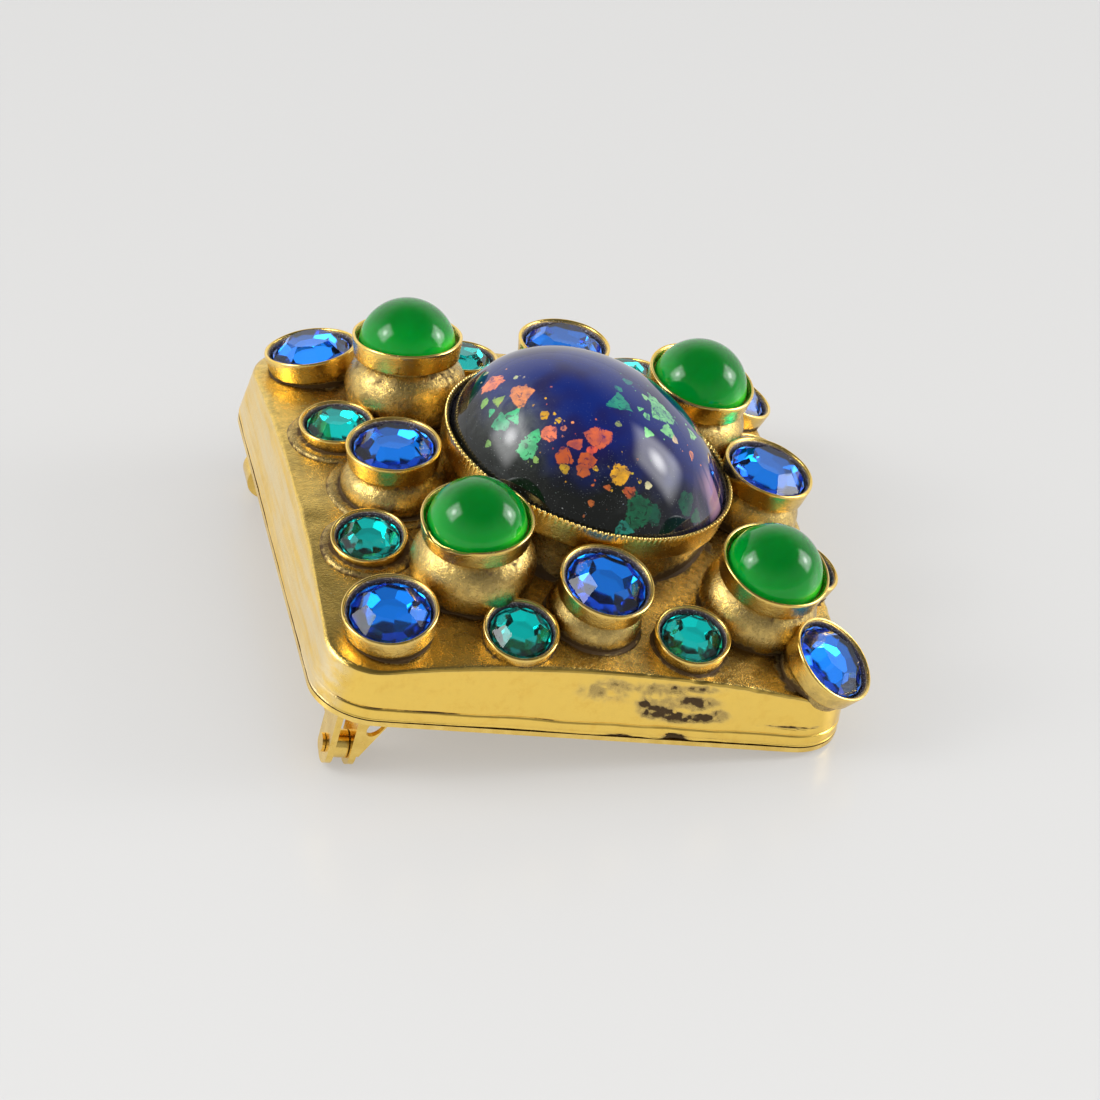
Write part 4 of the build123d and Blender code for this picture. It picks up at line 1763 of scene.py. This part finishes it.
@dataclass
class CutStone:
    """A round cut stone: table, crown facets, a many-sided girdle and a foiled back.

    Attributes:
        place: The stone's row.
        block: The block that it stands on.
        radius: Radius of the girdle's corners.
        crown: Height of the table above the girdle.
        pavilion: Depth of the back below the girdle.
        girdle: Height of the girdle.
        table: Radius of the table, as a share of the girdle's.
        culet: Radius of the flat back, as a share of the girdle's.
        facets: How many main facets go round.
    """

    place: StonePlace
    block: BlockShape
    radius: float
    crown: float
    pavilion: float
    girdle: float = 0.2
    table: float = 0.58
    culet: float = 0.46
    facets: int = 8

    def corners(self) -> np.ndarray:
        """Corners of the stone in its rim's frame, ring after ring.

        The table and the girdle's even corners lie on the same eight bearings, and
        the flat culet is turned by half a step against them.

        Returns:
            Rows of X, Y and Z: table, upper girdle, lower girdle and culet.
        """
        half_step = math.pi / self.facets
        top = -self.place.kind.value.girdle
        even = np.arange(self.facets) * 2 * half_step
        round_all = np.arange(2 * self.facets) * half_step
        rings = (
            (even, self.radius * self.table, top + self.crown),
            (round_all, self.radius, top),
            (round_all, self.radius, top - self.girdle),
            (even + half_step, self.radius * self.culet, top - self.girdle - self.pavilion),
        )
        rows = [
            np.stack((radius * np.cos(turn), radius * np.sin(turn), 0 * turn + height), axis=1)
            for turn, radius, height in rings
        ]
        return np.concatenate(rows)

    def faces(self) -> tuple[list[np.ndarray], int]:
        """Facets as corner numbers, the clear ones first.

        Returns:
            Arrays of corner numbers and how many facets are clear.
        """
        count = self.facets
        step = np.arange(count)
        ahead = (step + 1) % count
        upper, lower, culet = count, 3 * count, 5 * count
        round_all = np.arange(2 * count)
        beside = (round_all + 1) % (2 * count)
        mains = np.stack((step, upper + 2 * step, upper + 2 * ahead, ahead), axis=1)
        bevels = np.stack((upper + 2 * step, upper + 2 * step + 1, upper + 2 * ahead), axis=1)
        belt = (upper + round_all, lower + round_all, lower + beside, upper + beside)
        belt = np.stack(belt, axis=1)
        odd, odd_ahead = lower + 2 * step + 1, lower + 2 * ahead + 1
        backs = np.stack((odd, culet + step, culet + ahead, odd_ahead), axis=1)
        slopes = np.stack((odd, odd_ahead, lower + 2 * ahead), axis=1)
        clear = [step[None], mains, bevels, belt]
        foiled = [backs, slopes, (culet + step[::-1])[None]]
        return clear + foiled, sum(len(group) for group in clear)

    def build(
        self, seat: Seat, glass: bpy.types.Material, foil: bpy.types.Material
    ) -> bpy.types.Object:
        """Builds the stone with its clear crown and foiled back.

        Args:
            seat: Where the level frame lies.
            glass: Material of the crown and girdle.
            foil: Material of the back.

        Returns:
            The piece.
        """
        rim = Rim.of(self.place, self.block)
        points = seat.to_row(rim.to_level(self.corners()))
        groups, clear = self.faces()
        piece = mesh_piece(f"cut_{self.place.name}", points, groups, smooth=False)
        piece.data.materials.append(glass)
        piece.data.materials.append(foil)
        slots = np.zeros(len(piece.data.polygons), np.int32)
        slots[clear:] = 1
        piece.data.polygons.foreach_set("material_index", slots)
        dice = np.random.default_rng(STONES.index(self.place))
        tone = dice.uniform(0.4, 1.0, len(slots)).astype(np.float32)
        piece.data.attributes.new("tone", "FLOAT", "FACE").data.foreach_set("value", tone)
        return piece


@dataclass
class Studio:
    """Pale floor, two square softboxes, a pale room and the camera.

    Attributes:
        seat: Where the level frame lies.
        lens: Focal length of the camera, in millimetres.
        sensor: Width of its sensor, in millimetres.
        sheet_side: Side of the sheet, in metres.
        panel: Side of a softbox, in millimetres.
        glow: Brightness of a softbox over most of its face.
        hot: Brightness that its middle has on top.
        face_fade: How far from its middle its face starts and stops fading, in its sides.
        spot_fade: The same for its hot middle.
        fill: Brightness of the room for soft light.
        backdrop: Brightness of the room that the camera sees.
    """

    seat: Seat
    lens: float = 192.29
    sensor: float = 36.0
    sheet_side: float = 6.0
    panel: float = 440.0
    glow: float = 6.0
    hot: float = 13.0
    face_fade: tuple[float, float] = (0.24, 0.50)
    spot_fade: tuple[float, float] = (0.02, 0.22)
    fill: float = 1.1
    backdrop: float = 0.75

    def build(self) -> None:
        """Makes the floor, lights, room and camera."""
        self.floor()
        self.softbox("left_softbox", -86.0, 37.0)
        self.softbox("right_softbox", 92.0, 25.0)
        self.room()
        self.camera()

    def floor(self) -> None:
        """Lays a pale sheet that glows a little, more so in front."""
        bpy.ops.mesh.primitive_plane_add(size=self.sheet_side)
        sheet = bpy.context.object
        sheet.name = "pale_sheet"
        wiring = Wiring("pale_sheet")
        split = wiring.add("ShaderNodeSeparateXYZ", wiring.places)
        light = wiring.span(split.outputs["Y"], -0.40, 0.20, 0.535, 0.275)
        wiring.link(light, "Emission Strength")
        wiring.set(
            Base_Color=(0.27, 0.268, 0.265, 1.0),
            Roughness=0.25,
            Specular_IOR_Level=0.4,
            Emission_Color=(1.0, 0.995, 0.985, 1.0),
        )
        sheet.data.materials.append(wiring.material)

    def softbox(
        self, name: str, azimuth: float, elevation: float, distance: float = 640.0
    ) -> None:
        """Hangs one square softbox that faces the brooch.

        Its brightness is even over the middle of its face, falls to nothing over the
        outer quarter on each side, and rises in a round spot in the middle. Its power
        is pi times its area, so that its nodes give its brightness.

        Args:
            name: Name of the light.
            azimuth: Degrees from +Y towards +X.
            elevation: Degrees above the floor.
            distance: How far away it is, in millimetres.
        """
        turn, rise = math.radians(azimuth), math.radians(elevation)
        level = math.cos(rise)
        away = Vector((math.sin(turn) * level, math.cos(turn) * level, math.sin(rise)))
        light = bpy.data.lights.new(name, "AREA")
        light.shape = "SQUARE"
        light.size = self.panel * MM
        light.energy = math.pi * light.size**2
        light.use_nodes = True
        nodes = Nodes(light.node_tree)
        panel = nodes.add("ShaderNodeNewGeometry").outputs["Parametric"]
        split = nodes.add("ShaderNodeSeparateXYZ", panel)
        across = nodes.maths("ABSOLUTE", nodes.minus(split.outputs[0], 0.5))
        along = nodes.maths("ABSOLUTE", nodes.minus(split.outputs[1], 0.5))
        face = nodes.times(
            nodes.span(across, *self.face_fade, self.glow, 0.0),
            nodes.span(along, *self.face_fade, 1.0, 0.0),
        )
        squares = nodes.plus(nodes.maths("POWER", across, 2.0), nodes.maths("POWER", along, 2.0))
        spot = nodes.span(nodes.maths("SQRT", squares), *self.spot_fade, self.hot, 0.0)
        strength = nodes.tree.nodes["Emission"].inputs["Strength"]
        nodes.tree.links.new(nodes.plus(face, spot), strength)
        lamp = bpy.data.objects.new(name, light)
        lamp.location = away * distance * MM
        lamp.rotation_euler = (-away).to_track_quat("-Z", "Y").to_euler()
        bpy.context.scene.collection.objects.link(lamp)

    def room(self) -> None:
        """Fills the room with pale light.

        What the metal mirrors is brighter low down and far away than overhead, with a
        little more on the left. What shines through the stones falls off upwards. Soft
        light and what the camera sees are even.
        """
        world = bpy.data.worlds.new("pale_room")
        world.use_nodes = True
        bpy.context.scene.world = world
        bpy.context.scene.view_settings.view_transform = "Standard"
        nodes = Nodes(world.node_tree)
        directions = nodes.add("ShaderNodeTexCoord").outputs["Generated"]
        split = nodes.add("ShaderNodeSeparateXYZ", directions)
        path = nodes.add("ShaderNodeLightPath")
        height = nodes.span(split.outputs["Z"], 0.34, 0.86, 0.92, 0.14)
        depth = nodes.maths("MULTIPLY_ADD", split.outputs["Y"], 0.35, 0.75)
        side = nodes.maths("MAXIMUM", nodes.times(split.outputs["X"], -0.10), 0.0)
        mirrored = nodes.plus(nodes.times(height, depth), side)
        inner = nodes.maths("MULTIPLY_ADD", split.outputs["Z"], -0.9, 1.45)
        inner = nodes.times(inner, path.outputs["Is Transmission Ray"])
        soft = nodes.times(path.outputs["Is Diffuse Ray"], self.fill)
        seen = nodes.times(path.outputs["Is Camera Ray"], self.backdrop)
        strength = nodes.maths("MAXIMUM", soft, seen)
        strength = nodes.maths("MAXIMUM", strength, nodes.maths("MAXIMUM", mirrored, inner))
        background = nodes.tree.nodes["Background"]
        nodes.tree.links.new(strength, background.inputs["Strength"])
        background.inputs["Color"].default_value = (1.0, 1.0, 1.0, 1.0)

    def camera(self) -> None:
        """Sets the camera up at the photograph's angle.

        Its directions and its place, in millimetres, are in the level frame and come
        from a fit of the rims' outlines to the photograph.
        """
        right = np.array((0.9524578545, -0.1958347724, 0.2333940387))
        up = np.array((-0.0690199022, 0.6074469766, 0.7913560663))
        back = np.array((-0.2967495383, -0.7698421348, 0.5650511472))
        place = np.array((-147.0398, -384.2402, 284.1547))
        basis = np.stack((right, up, back)) @ self.seat.axes
        lens = bpy.data.cameras.new("camera")
        lens.lens = self.lens
        lens.sensor_width = self.sensor
        lens.clip_start = 0.01
        lens.clip_end = 20.0
        eye = bpy.data.objects.new("camera", lens)
        matrix = Matrix(basis.T.tolist()).to_4x4()
        matrix.translation = Vector(self.seat.to_row(place))
        eye.matrix_world = matrix
        bpy.context.scene.collection.objects.link(eye)
        bpy.context.scene.camera = eye


@dataclass
class Brooch:
    """The whole brooch on its seat.

    Attributes:
        seat: Where the level frame lies.
        block: Sizes of the cast block.
        body: Name of the body that its pieces ride on.
        stone_gap: Room between a stone and its cup.
        cut_room: How much more room a cut stone has.
        green_dome: Height of a green stone's top above its rim.
        blue_cut: Height of a blue stone's crown and depth of its back.
        teal_cut: The same for a teal stone.
        torn_lips: Bearing of the torn stretch of a lip, by the stone's name.
    """

    seat: Seat
    block: BlockShape = field(default_factory=BlockShape)
    body: str = "brooch"
    stone_gap: float = 0.05
    cut_room: float = 0.1
    green_dome: float = 3.05
    blue_cut: tuple[float, float] = (1.2, 0.75)
    teal_cut: tuple[float, float] = (1.0, 0.6)
    torn_lips: dict[str, float] = field(default_factory=lambda: {"green_stone_1": 222.0})

    def carry(self, piece: bpy.types.Object, slot: str, *replaced: str) -> None:
        """Makes a piece ride on the brooch and hides the nodes that it stands for.

        Args:
            piece: The piece.
            slot: Its material slot in the record; not used.
            replaced: Names of the nodes that it stands for.
        """
        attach(piece, self.body)
        if replaced:
            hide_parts(*replaced)
        LOG.info("%s: %d faces", piece.name, len(piece.data.polygons))

    def build_metal(self) -> None:
        """Builds the block and the settings."""
        gilt = GiltFinish("antique_gilt").material()
        feet = []
        for place in STONES:
            rim = Rim.of(place, self.block)
            sizes = place.kind.value
            foot = rim.to_level(np.array((0.0, 0.0, -place.rise * sizes.rise)))
            feet.append((foot[:2], sizes.rim * sizes.foot))
        block = CrownedBlock(self.block).build(self.seat, feet)
        block.data.materials.append(gilt)
        self.carry(block, "gilt_casting", "front_casting")
        for place in STONES:
            torn = self.torn_lips.get(place.name, 0.0)
            setting = Setting(place, self.block, torn=torn).build(self.seat)
            setting.data.materials.append(gilt)
            self.carry(setting, "gilt_casting", "front_casting")

    def build_stones(self) -> None:
        """Builds every stone."""
        green = CabochonGlass("green_glass").material()
        blue = ClearGlass("blue_glass", (0.75, 0.9, 1.0)).material()
        blue_foil = FoilBack("blue_foil", (0.01, 0.27, 1.0)).material()
        teal = ClearGlass("teal_glass", (0.8, 1.0, 0.98)).material()
        teal_foil = FoilBack("teal_foil", (0.0, 0.62, 0.58)).material()
        opal = OpalGlass("opal_glass").material()
        for place in STONES:
            girdle = place.kind.value.rim - Setting.seat_wall - self.stone_gap
            cut = girdle - self.cut_room
            if place.kind is SettingKind.CENTRE:
                stone = OpalDome(place, self.block, girdle).build(self.seat)
                stone.data.materials.append(opal)
                self.carry(stone, "opal_glass", place.name)
            elif place.kind is SettingKind.GREEN:
                stone = Cabochon(place, self.block, self.green_dome, girdle)
                stone = stone.build(self.seat, f"domed_{place.name}")
                stone.data.materials.append(green)
                self.carry(stone, "green_glass", place.name)
            elif place.kind is SettingKind.TEAL:
                stone = CutStone(place, self.block, cut, *self.teal_cut)
                stone = stone.build(self.seat, teal, teal_foil)
                self.carry(stone, "teal_glass", place.name)
            else:
                stone = CutStone(place, self.block, cut, *self.blue_cut)
                stone = stone.build(self.seat, blue, blue_foil)
                self.carry(stone, "blue_glass", place.name)

    def dress_finding(self) -> None:
        """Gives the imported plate, rivet and stem their finish."""
        gilt = SheetGilt("bright_gilt").material()
        for name in ("back_plate", "hinge_rivet", "pin_stem"):
            packed = frame["nodes"][name].data
            packed.materials.clear()
            packed.materials.append(gilt)
            LOG.info("%s: %d faces", name, len(packed.polygons))


def main() -> None:
    """Builds the brooch and its studio in order."""
    logging.basicConfig(level=logging.INFO, format="%(name)s: %(message)s")
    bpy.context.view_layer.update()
    seat = Seat.from_hinge(frame["joints"][0], HINGE_PLACE)
    brooch = Brooch(seat)
    brooch.build_metal()
    brooch.build_stones()
    brooch.dress_finding()
    Studio(seat).build()


if __name__ == "__main__":
    main()
